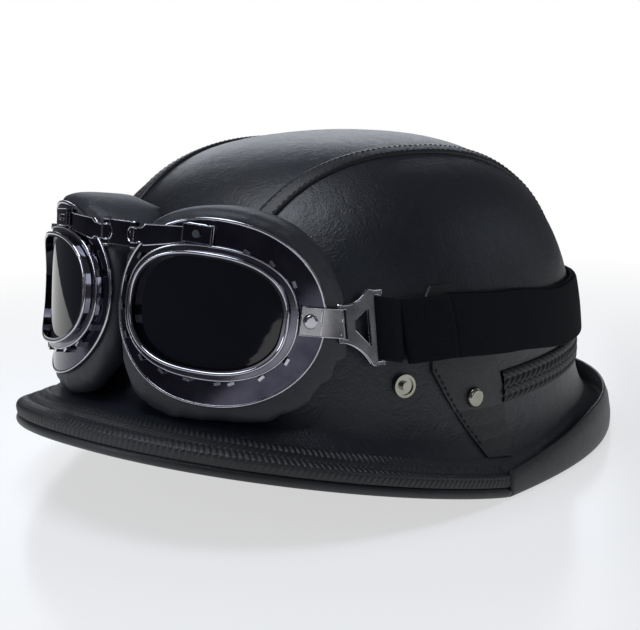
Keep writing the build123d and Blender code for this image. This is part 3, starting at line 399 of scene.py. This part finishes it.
def skin_profiles():
    """For each angle the line from crown to rim, rounded where the dome runs into the flare."""
    profiles = []
    for angle in SWEEP:
        join = join_height(angle)
        floor = asin(((join - BASE) / (TOP - BASE)) ** (1 / CROWN))
        line = []
        for step in range(DOME_ROWS):
            turn = pi / 2 - (pi / 2 - floor) * step / (DOME_ROWS - 1) - (1e-4 if step == 0 else 0)
            z = BASE + (TOP - BASE) * sin(turn) ** CROWN
            line.append(out(angle, dome_radius(angle, z), z))
        for step in range(1, FLARE_ROWS):
            t = step / (FLARE_ROWS - 1)
            wave = sin(angle * 1.9 + 2 * sin(angle * 0.37))
            pucker = PUCKER_HEIGHT * wave * sin(pi * t) ** 2 * max(1 - 2.2 * t, 0)
            line.append(flare_point(angle, t, pucker))
        for _ in range(SMOOTHING_PASSES):
            middle = range(DOME_ROWS - 5, DOME_ROWS + 4)
            moved = {k: (line[k - 1] + 2 * line[k] + line[k + 1]) / 4 for k in middle}
            for k, place in moved.items():
                line[k] = place
        profiles.append(line)
    return profiles


PROFILES = skin_profiles()


def panels():
    """The dome's leather, divided along the two seams."""
    rows = [[line[step] for line in PROFILES] for step in range(DOME_ROWS)]
    groups = {name: [] for name in PANELS}
    wide = len(SWEEP)
    for i in range(len(rows) - 1):
        for j in range(wide):
            after = (j + 1) % wide
            quad = (i * wide + j, (i + 1) * wide + j, (i + 1) * wide + after, i * wide + after)
            middle = (rows[i][j] + rows[i + 1][after]) / 2
            if abs(middle.x) < SEAM_X + SEAM_SPREAD * middle.y - SEAM_LINE:
                groups["centre_panel"].append(quad)
            else:
                groups["side_panel_left" if middle.x > 0 else "side_panel_right"].append(quad)
    points = [p for row in rows for p in row]
    for name, quads in groups.items():
        used = sorted({k for quad in quads for k in quad})
        index = {k: n for n, k in enumerate(used)}
        faces = [tuple(index[k] for k in quad) for quad in quads]
        obj = mesh_piece(name, [points[k] for k in used], faces, LEATHER)
        obj.data.flip_normals()
        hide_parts(PANELS[name])
        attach(obj, "helmet")


def flare():
    obj = grid("peak_and_neck_leather", [line[DOME_ROWS - 1:] for line in PROFILES], LEATHER, wrap_u=True)
    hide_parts("flare_cover")
    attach(obj, "helmet")


panels()
flare()


# ---------------------------------------------------------------- welts and their stitching
WELT_START, WELT_RUN, WELT_STEPS = -90, 198, 120
WELT_END_REAR, WELT_END_FRONT = 84, 118
WELT_PROFILE = [(-1.0, 0.0), (-0.98, 0.8), (-0.88, 1.35), (-0.6, 1.45), (0, 1.5),
                (0.6, 1.45), (0.88, 1.35), (0.98, 0.8), (1.0, 0.0)]
THREAD_PLACE, THREAD_HEIGHT = 0.62, 1.3


def welt():
    """Raised strip over each seam, with a row of stitches near each of its edges."""
    rows, sew = [], {-1: ([], []), 1: ([], [])}
    for i in range(WELT_STEPS + 1):
        y = WELT_START + WELT_RUN * i / WELT_STEPS
        middle = SEAM_X + SEAM_SPREAD * y - SEAM_LINE
        row = []
        for across, height in WELT_PROFILE:
            here, normal = dome_top(middle + across * SEAM_LINE, y)
            row.append(here + normal * height)
        crest = row[len(row) // 2].z
        if crest < WELT_END_REAR or (y < 0 and crest < WELT_END_FRONT):
            continue
        rows.append(row)
        for side in (-1, 1):
            here, normal = dome_top(middle + side * SEAM_LINE * THREAD_PLACE, y)
            sew[side][0].append(here + normal * THREAD_HEIGHT)
            sew[side][1].append(normal)
    strip = grid("welt_strip_left", rows, TRIM)
    threads = [stitches(f"welt_thread_{word}_left", *sew[side], THREAD, 2.4, 3.4, 0.28)
               for side, word in ((-1, "inner"), (1, "outer"))]
    for piece in (strip, *threads):
        other = mirror_piece(piece, piece.name.replace("_left", "_right"))
        for obj in (piece, other):
            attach(obj, "helmet")
        if piece is strip:
            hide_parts("welt_left")
            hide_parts("welt_right")


welt()


# ---------------------------------------------------------------- rim: braid, piping and neck band
def plait(u, v, pitch, width, lanes=2):
    """Height of a flat plait, 0 to 1: strands slant one way and the other in neighbouring lanes."""
    lane_width = width / lanes
    lane = min(int(v / lane_width), lanes - 1)
    inside = v / lane_width - lane
    lean = inside if lane % 2 else 1 - inside
    across = abs(((u / pitch + lean * 0.9 + 0.5 * (lane // 2)) % 1.0) - 0.5) * 2
    crown = 1 - abs(2 * inside - 1) ** 3
    return (1 - across ** 2.4) * (0.35 + 0.65 * crown)


BRAID_STEPS, BRAID_ACROSS = 1500, 33
BRAID_WIDTH, BRAID_PITCH, BRAID_LANES, BRAID_RELIEF = 15.0, 2.6, 4, 0.6
BRAID_FOOT = 5.0


def braid_strip():
    """Flat braid that runs from the top of the peak over its lip and down to the piping."""
    rows, run, last = [], 0.0, None
    for i in range(BRAID_STEPS + 1):
        angle = -FLAP_ANGLE + 2 * FLAP_ANGLE * i / BRAID_STEPS
        edge = rim_radius(angle)
        low = rim_low(angle) + BRAID_FOOT
        top = low + RIM_HEIGHT - BRAID_FOOT
        inner = flare_point(angle, 0.66, 0.3)
        lip = out(angle, edge - LIP_INSET, top + 0.55)
        shoulder = out(angle, edge - 1.3, top - 0.2)
        foot = out(angle, edge - 1.2, low)
        line = [inner, flare_point(angle, 0.84, 0.45), lip, shoulder, out(angle, edge - 0.9, top - 1.8), foot]
        if last is not None:
            run += (lip - last).length
        last = lip
        lengths = [0.0]
        for a, b in zip(line, line[1:]):
            lengths.append(lengths[-1] + (b - a).length)
        row = []
        for k in range(BRAID_ACROSS + 1):
            s = lengths[-1] * k / BRAID_ACROSS
            n = max(j for j in range(len(lengths) - 1) if lengths[j] <= s + 1e-9)
            t = (s - lengths[n]) / (lengths[n + 1] - lengths[n])
            place = line[n].lerp(line[n + 1], t)
            push = out(angle, 1, 0) * (s / lengths[-1]) + Vector((0, 0, 1 - s / lengths[-1]))
            height = plait(run, (s / lengths[-1]) * BRAID_WIDTH, BRAID_PITCH, BRAID_WIDTH, BRAID_LANES)
            row.append(place + push.normalized() * BRAID_RELIEF * height)
        rows.append(row)
    obj = grid("peak_braid", rows, LACING)
    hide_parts("front_braid")
    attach(obj, "helmet")


PIPING_STEPS, PIPING_SIDES = 160, 20
PIPING_RADIUS, PIPING_INSET, PIPING_RISE = 2.5, 2.6, 2.55


def piping():
    """Smooth round edge under the braid."""
    rows = []
    turns = [radians(360 / PIPING_SIDES * k) for k in range(PIPING_SIDES)]
    for i in range(PIPING_STEPS + 1):
        angle = -FLAP_ANGLE + 2 * FLAP_ANGLE * i / PIPING_STEPS
        edge, low = rim_radius(angle) - PIPING_INSET, rim_low(angle) + PIPING_RISE
        rows.append([out(angle, edge + PIPING_RADIUS * cos(turn), low + PIPING_RADIUS * sin(turn))
                     for turn in turns])
    obj = grid("peak_piping", rows, TRIM, wrap_v=True)
    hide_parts("rim_piping")
    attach(obj, "helmet")


NECK_STEPS, NECK_RAMP, NECK_LOW, NECK_RISE = 200, 40, 12, 8


def neck_band():
    """Smooth band round the back of the rim, which grows taller behind the side flaps."""
    rows = []
    for i in range(NECK_STEPS + 1):
        angle = FLAP_ANGLE + (360 - 2 * FLAP_ANGLE) * i / NECK_STEPS
        turn = angle if angle <= 180 else 360 - angle
        edge = rim_radius(angle)
        growth = min((turn - FLAP_ANGLE) / NECK_RAMP, 1.0)
        high, lean = NECK_LOW + NECK_RISE * growth, 1.0 + 2.0 * growth
        profile = [(-8, 0.2), (-7.8, 0), (-2.0, 0), (-0.8, 0.5), (-0.2, 2.0), (0, 4.5), (0, 7.5),
                   (-lean * 0.4, high * 0.75), (-lean, high - 0.6), (-lean - 0.4, high), (-lean - 1.1, high),
                   (-lean - 1.5, high - 0.6), (-1.9, 7), (-2.4, 1.9), (-8, 1.8)]
        rows.append([out(angle, edge + shift, z) for shift, z in profile])
    obj = grid("neck_trim", rows, TRIM, wrap_v=True)
    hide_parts("neck_band")
    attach(obj, "helmet")


braid_strip()
piping()
neck_band()


# ---------------------------------------------------------------- braided belt and side flap stitching
BELT_LOW, BELT_MIDDLE, BELT_HIGH = 37.6, 45, 52.4
BELT_START, BELT_TURN, BELT_STEPS, BELT_ACROSS = 85.0, 190.0, 900, 32
BELT_PITCH, BELT_LANES = 4.4, 4


def belt():
    """Braided belt round the back of the dome."""
    rows, run, last = [], 0.0, None
    width = BELT_HIGH - BELT_LOW
    for i in range(BELT_STEPS + 1):
        angle = BELT_START + BELT_TURN * i / BELT_STEPS
        centre = out(angle, dome_radius(angle, BELT_MIDDLE), BELT_MIDDLE)
        if last is not None:
            run += (centre - last).length
        last = centre
        row = []
        for k in range(BELT_ACROSS + 1):
            t = k / BELT_ACROSS
            z = BELT_LOW + width * t
            height = plait(run, t * width, BELT_PITCH, width, BELT_LANES)
            crown = (1 - (2 * t - 1) ** 4) ** 0.5
            row.append(out(angle, dome_radius(angle, z) + 0.2 + crown * (0.9 + 1.2 * height), z))
        rows.append(row)
    obj = grid("rear_plait", rows, LACING)
    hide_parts("rear_belt")
    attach(obj, "helmet")


def flap_surface(y, z, lift):
    """Point on the side flap, which lies on the dome above and on the flare below."""
    if z > JOIN + 1.5:
        return dome_side(y, z, lift)
    angle = 90.0
    for _ in range(8):
        steps = [flare_point(angle, k / 30, lift) for k in range(31)]
        place = min(steps, key=lambda p: abs(p.z - z))
        angle += degrees(atan2(y - place.y, place.x))
    return place


FLAP_SEAM = [(-50.2, 60), (-44.4, 49), (-35.2, 34), (-26.6, 21.5)]
FLAP_STEPS = 14


def flap_stitching():
    """Stitches along the front edge of each side flap."""
    path = []
    for (y0, z0), (y1, z1) in zip(FLAP_SEAM, FLAP_SEAM[1:]):
        for k in range(FLAP_STEPS):
            y, z = y0 + (y1 - y0) * k / FLAP_STEPS, z0 + (z1 - z0) * k / FLAP_STEPS
            path.append(flap_surface(y, z, THREAD_HEIGHT))
    path = [p for k, p in enumerate(path) if k % 2 == 0]
    normals = []
    for k, p in enumerate(path):
        along = (path[min(k + 1, len(path) - 1)] - path[max(k - 1, 0)]).normalized()
        flat = Vector((p.x, p.y * 0.6, 0)).normalized()
        normals.append((flat - along * flat.dot(along)).normalized())
    left = stitches("flap_thread_left", path, normals, THREAD, 2.2, 3.2, 0.4)
    for obj in (left, mirror_piece(left, "flap_thread_right")):
        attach(obj, "helmet")


belt()
flap_stitching()


# ---------------------------------------------------------------- goggle strap
# The strap's cross-section: across its width from -1 to 1, through its thickness from 0 to 1.
STRAP_OUTLINE = [(-1.0, 0.5), (-0.985, 0.9), (-0.94, 1.0)]
STRAP_OUTLINE += [(-0.94 + 1.88 * k / 12, 1.0) for k in range(1, 12)]
STRAP_OUTLINE += [(0.94, 1.0), (0.985, 0.9), (1.0, 0.5), (0.985, 0.1), (0.94, 0.0)]
STRAP_OUTLINE += [(-0.94, 0.0), (-0.985, 0.1)]
OUTER_OFFSET, OUTER_THICK = 2.9, 1.4
REAR_HEIGHT, REAR_RADIUS, REAR_SLOPE, REAR_SHIFT = 65.5, 125.0, 3.7 / 27, 2.3
REAR_ANGLE, REAR_STEPS = 25, 24
SIDE_END, SIDE_STEPS = 100, 60
END_START, END_RUN, END_STEPS = -65, 24, 16


def strap_height(y):
    for (y0, z0), (y1, z1) in zip(STRAP_PATH, STRAP_PATH[1:]):
        if y0 <= y <= y1:
            t = (y - y0) / (y1 - y0)
            t = t * t * (3 - 2 * t) * 0.35 + t * 0.65
            return z0 + (z1 - z0) * t
    return STRAP_PATH[-1][1]


def strap_row(y, side, offset, thick, shift=0.0):
    """Section of the strap where it crosses a given y: a thin band with rounded edges."""
    middle = strap_height(y) + shift
    row = []
    for across, depth in STRAP_OUTLINE:
        p = dome_side(y, middle + across * STRAP_HALF, offset + thick * depth)
        row.append(Vector((p.x * side, p.y, p.z)))
    return row


def rear_row(angle, offset, thick, shift=0.0):
    """Section of the strap on its arc round the back of the dome."""
    row = []
    for across, depth in STRAP_OUTLINE:
        z = REAR_HEIGHT + shift + across * STRAP_HALF
        radius = REAR_RADIUS + offset + thick * depth - REAR_SLOPE * (z - REAR_HEIGHT)
        row.append(Vector((radius * sin(radians(angle)), REAR_SHIFT + radius * cos(radians(angle)), z)))
    return row


def band(name, offset, thick, start, shift, cad):
    """One layer of the strap, from the left side round the back to the right side."""
    ahead = [start + (SIDE_END - start) * k / SIDE_STEPS for k in range(SIDE_STEPS + 1)]
    turns = [REAR_ANGLE - 2 * REAR_ANGLE * k / REAR_STEPS for k in range(REAR_STEPS + 1)]
    rows = [strap_row(y, 1, offset, thick, shift) for y in ahead]
    rows += [rear_row(turn, offset, thick, shift) for turn in turns]
    rows += [strap_row(y, -1, offset, thick, shift) for y in ahead[::-1]]
    obj = grid(name, rows, STRAP, wrap_v=True)
    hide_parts(cad)
    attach(obj, "goggles_link")


band("strap_outer_layer", OUTER_OFFSET, OUTER_THICK, -41, 0.0, "strap_band")
band("strap_inner_layer", 1.5, 1.1, -39, 0.8, "strap_tail")


def strap_end(side, word):
    """Short piece of strap between the band and the fold at the buckle."""
    places = [END_START + END_RUN * k / END_STEPS for k in range(END_STEPS + 1)]
    rows = [strap_row(y, side, OUTER_OFFSET, OUTER_THICK) for y in places]
    obj = grid(f"strap_end_{word}", rows, STRAP, wrap_v=True)
    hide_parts(f"strap_front_{word}")
    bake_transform(obj)


FOLD_RADIUS, FOLD_LIFT = 2.3, 3.6
FOLD_STEPS, FOLD_ACROSS = 12, 14
BAR_LEAN = Vector((-0.132, 0.066, 0.989))


def strap_fold(side, word):
    """The strap's end, folded round the buckle's bar."""
    near = dome_side(-66.5, 79.4, FOLD_LIFT)
    bar = dome_side(-74.7, 81.6, FOLD_LIFT)
    rows = []
    along = (near - bar).normalized()
    outward = along.cross(BAR_LEAN).normalized()
    if outward.x < 0:
        outward = -outward
    profile = []
    for k in range(FOLD_STEPS + 1):
        turn = radians(90 + 180 / FOLD_STEPS * k)
        profile.append(bar + along * FOLD_RADIUS * cos(turn) + outward * FOLD_RADIUS * sin(turn))
    profile += [bar.lerp(near, 0.5) - outward * 1.5, near - outward * 0.7, near + outward * 0.7,
                bar.lerp(near, 0.5) + outward * 1.5]
    for k in range(FOLD_ACROSS + 1):
        across = -1 + 2 * k / FOLD_ACROSS
        pinch = 1.0 if abs(across) < 0.97 else 0.8
        centre = (bar + near) / 2
        rows.append([centre + (p - centre) * pinch + BAR_LEAN * across * (STRAP_HALF - 0.1) for p in profile])
    if side < 0:
        rows = [[Vector((-p.x, p.y, p.z)) for p in row] for row in rows]
    obj = grid(f"strap_fold_{word}", rows, STRAP, wrap_v=True)
    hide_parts(f"strap_loop_{word}")
    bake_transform(obj)


for side, word in ((1, "left"), (-1, "right")):
    strap_end(side, word)
    strap_fold(side, word)

# ---------------------------------------------------------------- goggle unit
TILT, TURN, ROLL = radians(7.3), radians(25.5), radians(-3.7)
CENTRE = Vector((47.2, -133.7, 92.4))
LENS_RADIUS, PLATE_RADIUS = 90.0, 85.1
PLATE_HALF_X, PLATE_HALF_Y, PLATE_SHIFT = 43.7, 37.7, 2.3
forward, upright = Vector((0, -cos(TILT), sin(TILT))), Vector((0, sin(TILT), cos(TILT)))
normal = Vector((1, 0, 0)) * sin(TURN) + forward * cos(TURN)
level = Vector((1, 0, 0)) * cos(TURN) - forward * sin(TURN)
across_axis = level * cos(ROLL) + upright * sin(ROLL)
rise_axis = upright * cos(ROLL) - level * sin(ROLL)


def at_unit(across, rise, radius):
    """Point on the left eye unit's curved face, a cylinder of the given radius."""
    depth = sqrt(radius ** 2 - across ** 2) - LENS_RADIUS
    return CENTRE + across_axis * across + rise_axis * rise + normal * depth


def oval(half_x, half_y, power, count=96):
    """Points round an oval that grows squarer as the power rises."""
    points = []
    for i in range(count):
        c, s = cos(2 * pi * i / count), sin(2 * pi * i / count)
        radius = ((abs(c) / half_x) ** power + (abs(s) / half_y) ** power) ** (-1 / power)
        points.append((radius * c, radius * s))
    return points


def ridge(name, half_x, half_y, power, shift, radius, thick, mat):
    """A rolled metal edge that follows an oval on the curved unit."""
    path = [at_unit(x + shift, y, radius) for x, y in oval(half_x, half_y, power)]
    left = tube(f"{name}_left", path, thick, mat, closed=True)
    for obj, word in ((left, "left"), (mirror_piece(left, f"{name}_right"), "right")):
        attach(obj, f"{word}_unit")


# The rolled edges are real; drawn in bright chrome against the darker plate and bezel, they are also painted
# highlights.
ridge("plate_rolled_edge", 43.4, 37.4, 2.15, PLATE_SHIFT, PLATE_RADIUS - 0.3, 0.75, CHROME)
ridge("bezel_foot_ridge", 36.4, 26.5, 2.4, 0, PLATE_RADIUS + 1.9, 0.6, CHROME)
ridge("bezel_lip", 33.5, 23.6, 2.5, 0, LENS_RADIUS - 0.3, 0.75, CHROME)


def edge_highlight_wires(cad_node, body, radius=0.28, sharp=35.0):
    """Wire-thin bright chrome lines along the sharp edges of a pressed metal piece: painted highlights where
    light catches the edges.
    """
    shape = bmesh.new()
    shape.from_mesh(NODES[cad_node].data)
    bmesh.ops.remove_doubles(shape, verts=shape.verts, dist=1e-6)
    lines = [e for e in shape.edges if len(e.link_faces) == 2 and degrees(e.calc_face_angle(0)) > sharp]
    used = sorted({v.index for e in lines for v in e.verts})
    index = {k: n for n, k in enumerate(used)}
    shape.verts.ensure_lookup_table()
    mesh = bpy.data.meshes.new(f"{cad_node}_edges")
    mesh.from_pydata([shape.verts[k].co.copy() for k in used],
                     [tuple(index[v.index] for v in e.verts) for e in lines], [])
    shape.free()
    obj = bpy.data.objects.new(f"{cad_node}_edges", mesh)
    bpy.context.collection.objects.link(obj)
    for other in bpy.context.selected_objects:
        other.select_set(False)
    obj.select_set(True)
    bpy.context.view_layer.objects.active = obj
    bpy.ops.object.convert(target="CURVE")
    obj.data.bevel_depth = radius * MM
    obj.data.bevel_resolution = 1
    bpy.ops.object.convert(target="MESH")
    obj.data.materials.clear()
    obj.data.materials.append(CHROME)
    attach(obj, body)


# painted highlights: bright chrome wires along the sharp edges of the arms, clips, brackets, buckles and
# bridge
for word in ("left", "right"):
    for name in ("bridge_arm", "arm_clip", "side_bracket"):
        edge_highlight_wires(f"{name}_{word}", f"{word}_unit")
    edge_highlight_wires(f"strap_buckle_{word}", f"{word}_buckle")
edge_highlight_wires("bridge_link", "goggles_link")

# ---------------------------------------------------------------- eye pads
PAD_BULGE, PAD_MARGIN, BEHIND_PLATE, NOSE_GAP = 7.5, 0.9, 1.1, 0.6
CLOTH_FRAMES, CLOTH_CAP, CLOTH_PRESSURE, PAD_VOXEL = 20, 2.5, 4.0, 0.0035
BRIM_STEPS = 24


def brim_height(x, y):
    """Height of the leather under a point in front of the dome."""
    angle, reach = degrees(atan2(x, -y)), hypot(x, y)
    steps = [flare_point(angle, k / BRIM_STEPS) for k in range(BRIM_STEPS + 1)]
    for p in steps:
        if hypot(p.x, p.y) >= reach:
            return p.z
    return steps[-1].z


def plate_depth(p):
    """How far a point lies behind the curved face of the left plate."""
    place = p - CENTRE
    flat = min(abs(place.dot(across_axis)), PLATE_RADIUS - 10)
    return sqrt(PLATE_RADIUS ** 2 - flat ** 2) - LENS_RADIUS - place.dot(normal)


def bulge(p):
    """Moves a point of the left pad outwards, most of all half way between plate and dome."""
    place = p - CENTRE
    x, y = place.dot(across_axis) - PLATE_SHIFT, place.dot(rise_axis)
    size = hypot(x / PLATE_HALF_X, y / PLATE_HALF_Y)
    depth = plate_depth(p)
    gap = hypot(p.x, p.y) - dome_radius(degrees(atan2(p.x, -p.y)), p.z)
    share = min(max(depth / (max(depth, 0) + max(gap, 0) + 0.1), 0), 1)
    push = PAD_BULGE * sin(pi * share ** 0.7) * min(max((size - 0.8) / 0.25, 0), 1)
    push *= min(max((p.x - 2) / 14, 0), 1) * min(max((24 - y) / 30, 0.12), 1)
    away = (across_axis * (x / PLATE_HALF_X ** 2) + rise_axis * (y / PLATE_HALF_Y ** 2)).normalized()
    moved = p + away * push
    radius = hypot(moved.x, moved.y)
    wall = dome_radius(degrees(atan2(moved.x, -moved.y)), moved.z) + PAD_MARGIN
    if radius < wall:
        moved.x, moved.y = moved.x * wall / radius, moved.y * wall / radius
    moved.z = max(moved.z, brim_height(moved.x, moved.y) + PAD_MARGIN)
    moved.x = max(moved.x, NOSE_GAP)
    behind = plate_depth(moved)
    return moved - normal * max(BEHIND_PLATE - behind, 0)


def swell(obj):
    """Cloth under pressure, kept within a few millimetres of where it started."""
    before = [v.co.copy() for v in obj.data.vertices]
    cloth = obj.modifiers.new("cloth", "CLOTH")
    cloth.settings.use_pressure = True
    cloth.settings.uniform_pressure_force = CLOTH_PRESSURE
    cloth.settings.effector_weights.gravity = 0.0
    for number in range(1, CLOTH_FRAMES + 1):
        bpy.context.scene.frame_set(number)
    bpy.ops.object.modifier_apply(modifier="cloth")
    bpy.context.scene.frame_set(1)
    for vertex, start in zip(obj.data.vertices, before):
        move = vertex.co - start
        vertex.co = start + move * min(1.0, CLOTH_CAP * MM / max(move.length, 1e-9))


def apply_modifier(obj, kind, **values):
    modifier = obj.modifiers.new(kind.lower(), kind)
    for key, value in values.items():
        setattr(modifier, key, value)
    bpy.context.view_layer.objects.active = obj
    bpy.ops.object.modifier_apply(modifier=modifier.name)


def eye_pads():
    """The padded ring of each eye, from the plate back to the dome; the right one mirrors the left."""
    left = bpy.data.objects.new("eye_cushion_left", NODES["pad_left"].data.copy())
    bpy.context.collection.objects.link(left)
    apply_modifier(left, "REMESH", mode="VOXEL", voxel_size=PAD_VOXEL)
    swell(left)
    apply_modifier(left, "SMOOTH", iterations=3)
    for vertex in left.data.vertices:
        vertex.co = bulge(vertex.co / MM) * MM
    apply_modifier(left, "SMOOTH", iterations=4)
    apply_modifier(left, "SUBSURF", levels=1)
    left.data.materials.clear()
    left.data.materials.append(PAD_LEATHER)
    for polygon in left.data.polygons:
        polygon.use_smooth = True
    for obj, word in ((left, "left"), (mirror_piece(left, "eye_cushion_right"), "right")):
        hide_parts(f"pad_{word}")
        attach(obj, f"{word}_unit")


eye_pads()

# ---------------------------------------------------------------- stage, lights, camera
FLOOR_HALF, FLOOR_HEIGHT = 900.0, -0.2
SWEEP_RADIUS, SWEEP_SIDES = 2600, 64


def studio_floor():
    """Pale glossy floor round the helmet that fades into a white sweep further off; near the helmet it still
    glows at 0.62, painted light that lifts the helmet's cast shadow.
    """
    mat, tree, shader = material("pale_floor", 0.22, base=(0.80, 0.83, 0.90), specular=0.4)
    place = node(tree, "ShaderNodeTexCoord").outputs["Object"]
    distance = node(tree, "ShaderNodeVectorMath", operation="LENGTH")
    tree.links.new(place, distance.inputs[0])
    fade = node(tree, "ShaderNodeMapRange")
    fade.inputs["From Min"].default_value = 0.18
    fade.inputs["From Max"].default_value = 0.55
    # painted light: the floor glows at 0.62 even beside the helmet, lightening its cast shadow
    fade.inputs["To Min"].default_value = 0.62
    tree.links.new(distance.outputs["Value"], fade.inputs["Value"])
    white = node(tree, "ShaderNodeEmission")
    white.inputs["Strength"].default_value = 1.0
    mix = node(tree, "ShaderNodeMixShader")
    tree.links.new(fade.outputs["Result"], mix.inputs["Fac"])
    tree.links.new(shader.outputs["BSDF"], mix.inputs[1])
    tree.links.new(white.outputs["Emission"], mix.inputs[2])
    tree.links.new(mix.outputs["Shader"], tree.nodes["Material Output"].inputs["Surface"])
    signs = ((-1, -1), (1, -1), (1, 1), (-1, 1))
    corners = [(x * FLOOR_HALF, y * FLOOR_HALF, FLOOR_HEIGHT) for x, y in signs]
    obj = mesh_piece("floor", corners, [(0, 1, 2, 3)], mat, smooth=False)


def backdrop():
    """White cylinder round the stage: seen directly, but it lights nothing, so the leather stays black."""
    mat = bpy.data.materials.new("white_sweep")
    mat.use_nodes = True
    tree = mat.node_tree
    white = node(tree, "ShaderNodeEmission")
    tree.links.new(white.outputs["Emission"], tree.nodes["Material Output"].inputs["Surface"])
    turns = [2 * pi * k / SWEEP_SIDES for k in range(SWEEP_SIDES)]
    rows = [[(SWEEP_RADIUS * cos(turn), SWEEP_RADIUS * sin(turn), z) for turn in turns]
            for z in (-1500, 0, 1500, 2600)]
    obj = grid("backdrop", rows, mat, wrap_v=True)
    obj.visible_diffuse = False
    obj.visible_glossy = False
    obj.visible_shadow = False


studio_floor()
backdrop()
world = bpy.data.worlds.new("studio")
bpy.context.scene.world = world
world.use_nodes = True
world.node_tree.nodes["Background"].inputs["Color"].default_value = (0.9, 0.93, 1, 1)
world.node_tree.nodes["Background"].inputs["Strength"].default_value = 0.1
bpy.context.scene.view_settings.view_transform = "Standard"


def soft_light(name, place, target, size, power):
    data = bpy.data.lights.new(name, "AREA")
    data.shape = "RECTANGLE"
    data.size, data.size_y = size
    data.energy = power
    data.color = (0.88, 0.93, 1.0)
    obj = bpy.data.objects.new(name, data)
    bpy.context.collection.objects.link(obj)
    obj.location = place
    obj.rotation_euler = (Vector(target) - Vector(place)).to_track_quat("-Z", "Y").to_euler()


soft_light("top_box", (-0.1, -0.25, 1.3), (0, 0, 0.1), (0.7, 0.7), 9)
soft_light("back_box", (-0.95, 1.0, 0.55), (0, 0, 0.1), (1.0, 0.45), 4.5)
soft_light("side_box", (1.4, -0.3, 0.6), (0, 0, 0.1), (0.3, 0.5), 0.9)
soft_light("front_box", (-0.7, -1.3, 0.6), (0, 0, 0.1), (0.5, 0.5), 5)
soft_light("rear_box", (0.7, 1.2, 0.6), (0, 0, 0.1), (0.5, 0.6), 0.6)

azimuth, elevation, tilt = radians(41.0), radians(12.18), radians(-1.02)
back = Vector((sin(azimuth) * cos(elevation), -cos(azimuth) * cos(elevation), sin(elevation)))
flat_right = Vector((cos(azimuth), sin(azimuth), 0))
flat_up = back.cross(flat_right)
right = flat_right * cos(tilt) + flat_up * sin(tilt)
up = flat_up * cos(tilt) - flat_right * sin(tilt)
AIM_SHIFT, AIM_HEIGHT, CAMERA_DISTANCE = -5.17, 62.5, 700.0
target = flat_right * AIM_SHIFT + Vector((0, 0, AIM_HEIGHT))
camera_data = bpy.data.cameras.new("camera")
camera_data.sensor_width = 36.0
camera_data.lens = 80.27
camera = bpy.data.objects.new("camera", camera_data)
bpy.context.collection.objects.link(camera)
matrix = camera.matrix_world.copy()
for row in range(3):
    matrix[row][0], matrix[row][1], matrix[row][2] = right[row], up[row], back[row]
    matrix[row][3] = (target + back * CAMERA_DISTANCE)[row] * MM
camera.matrix_world = matrix
bpy.context.scene.camera = camera
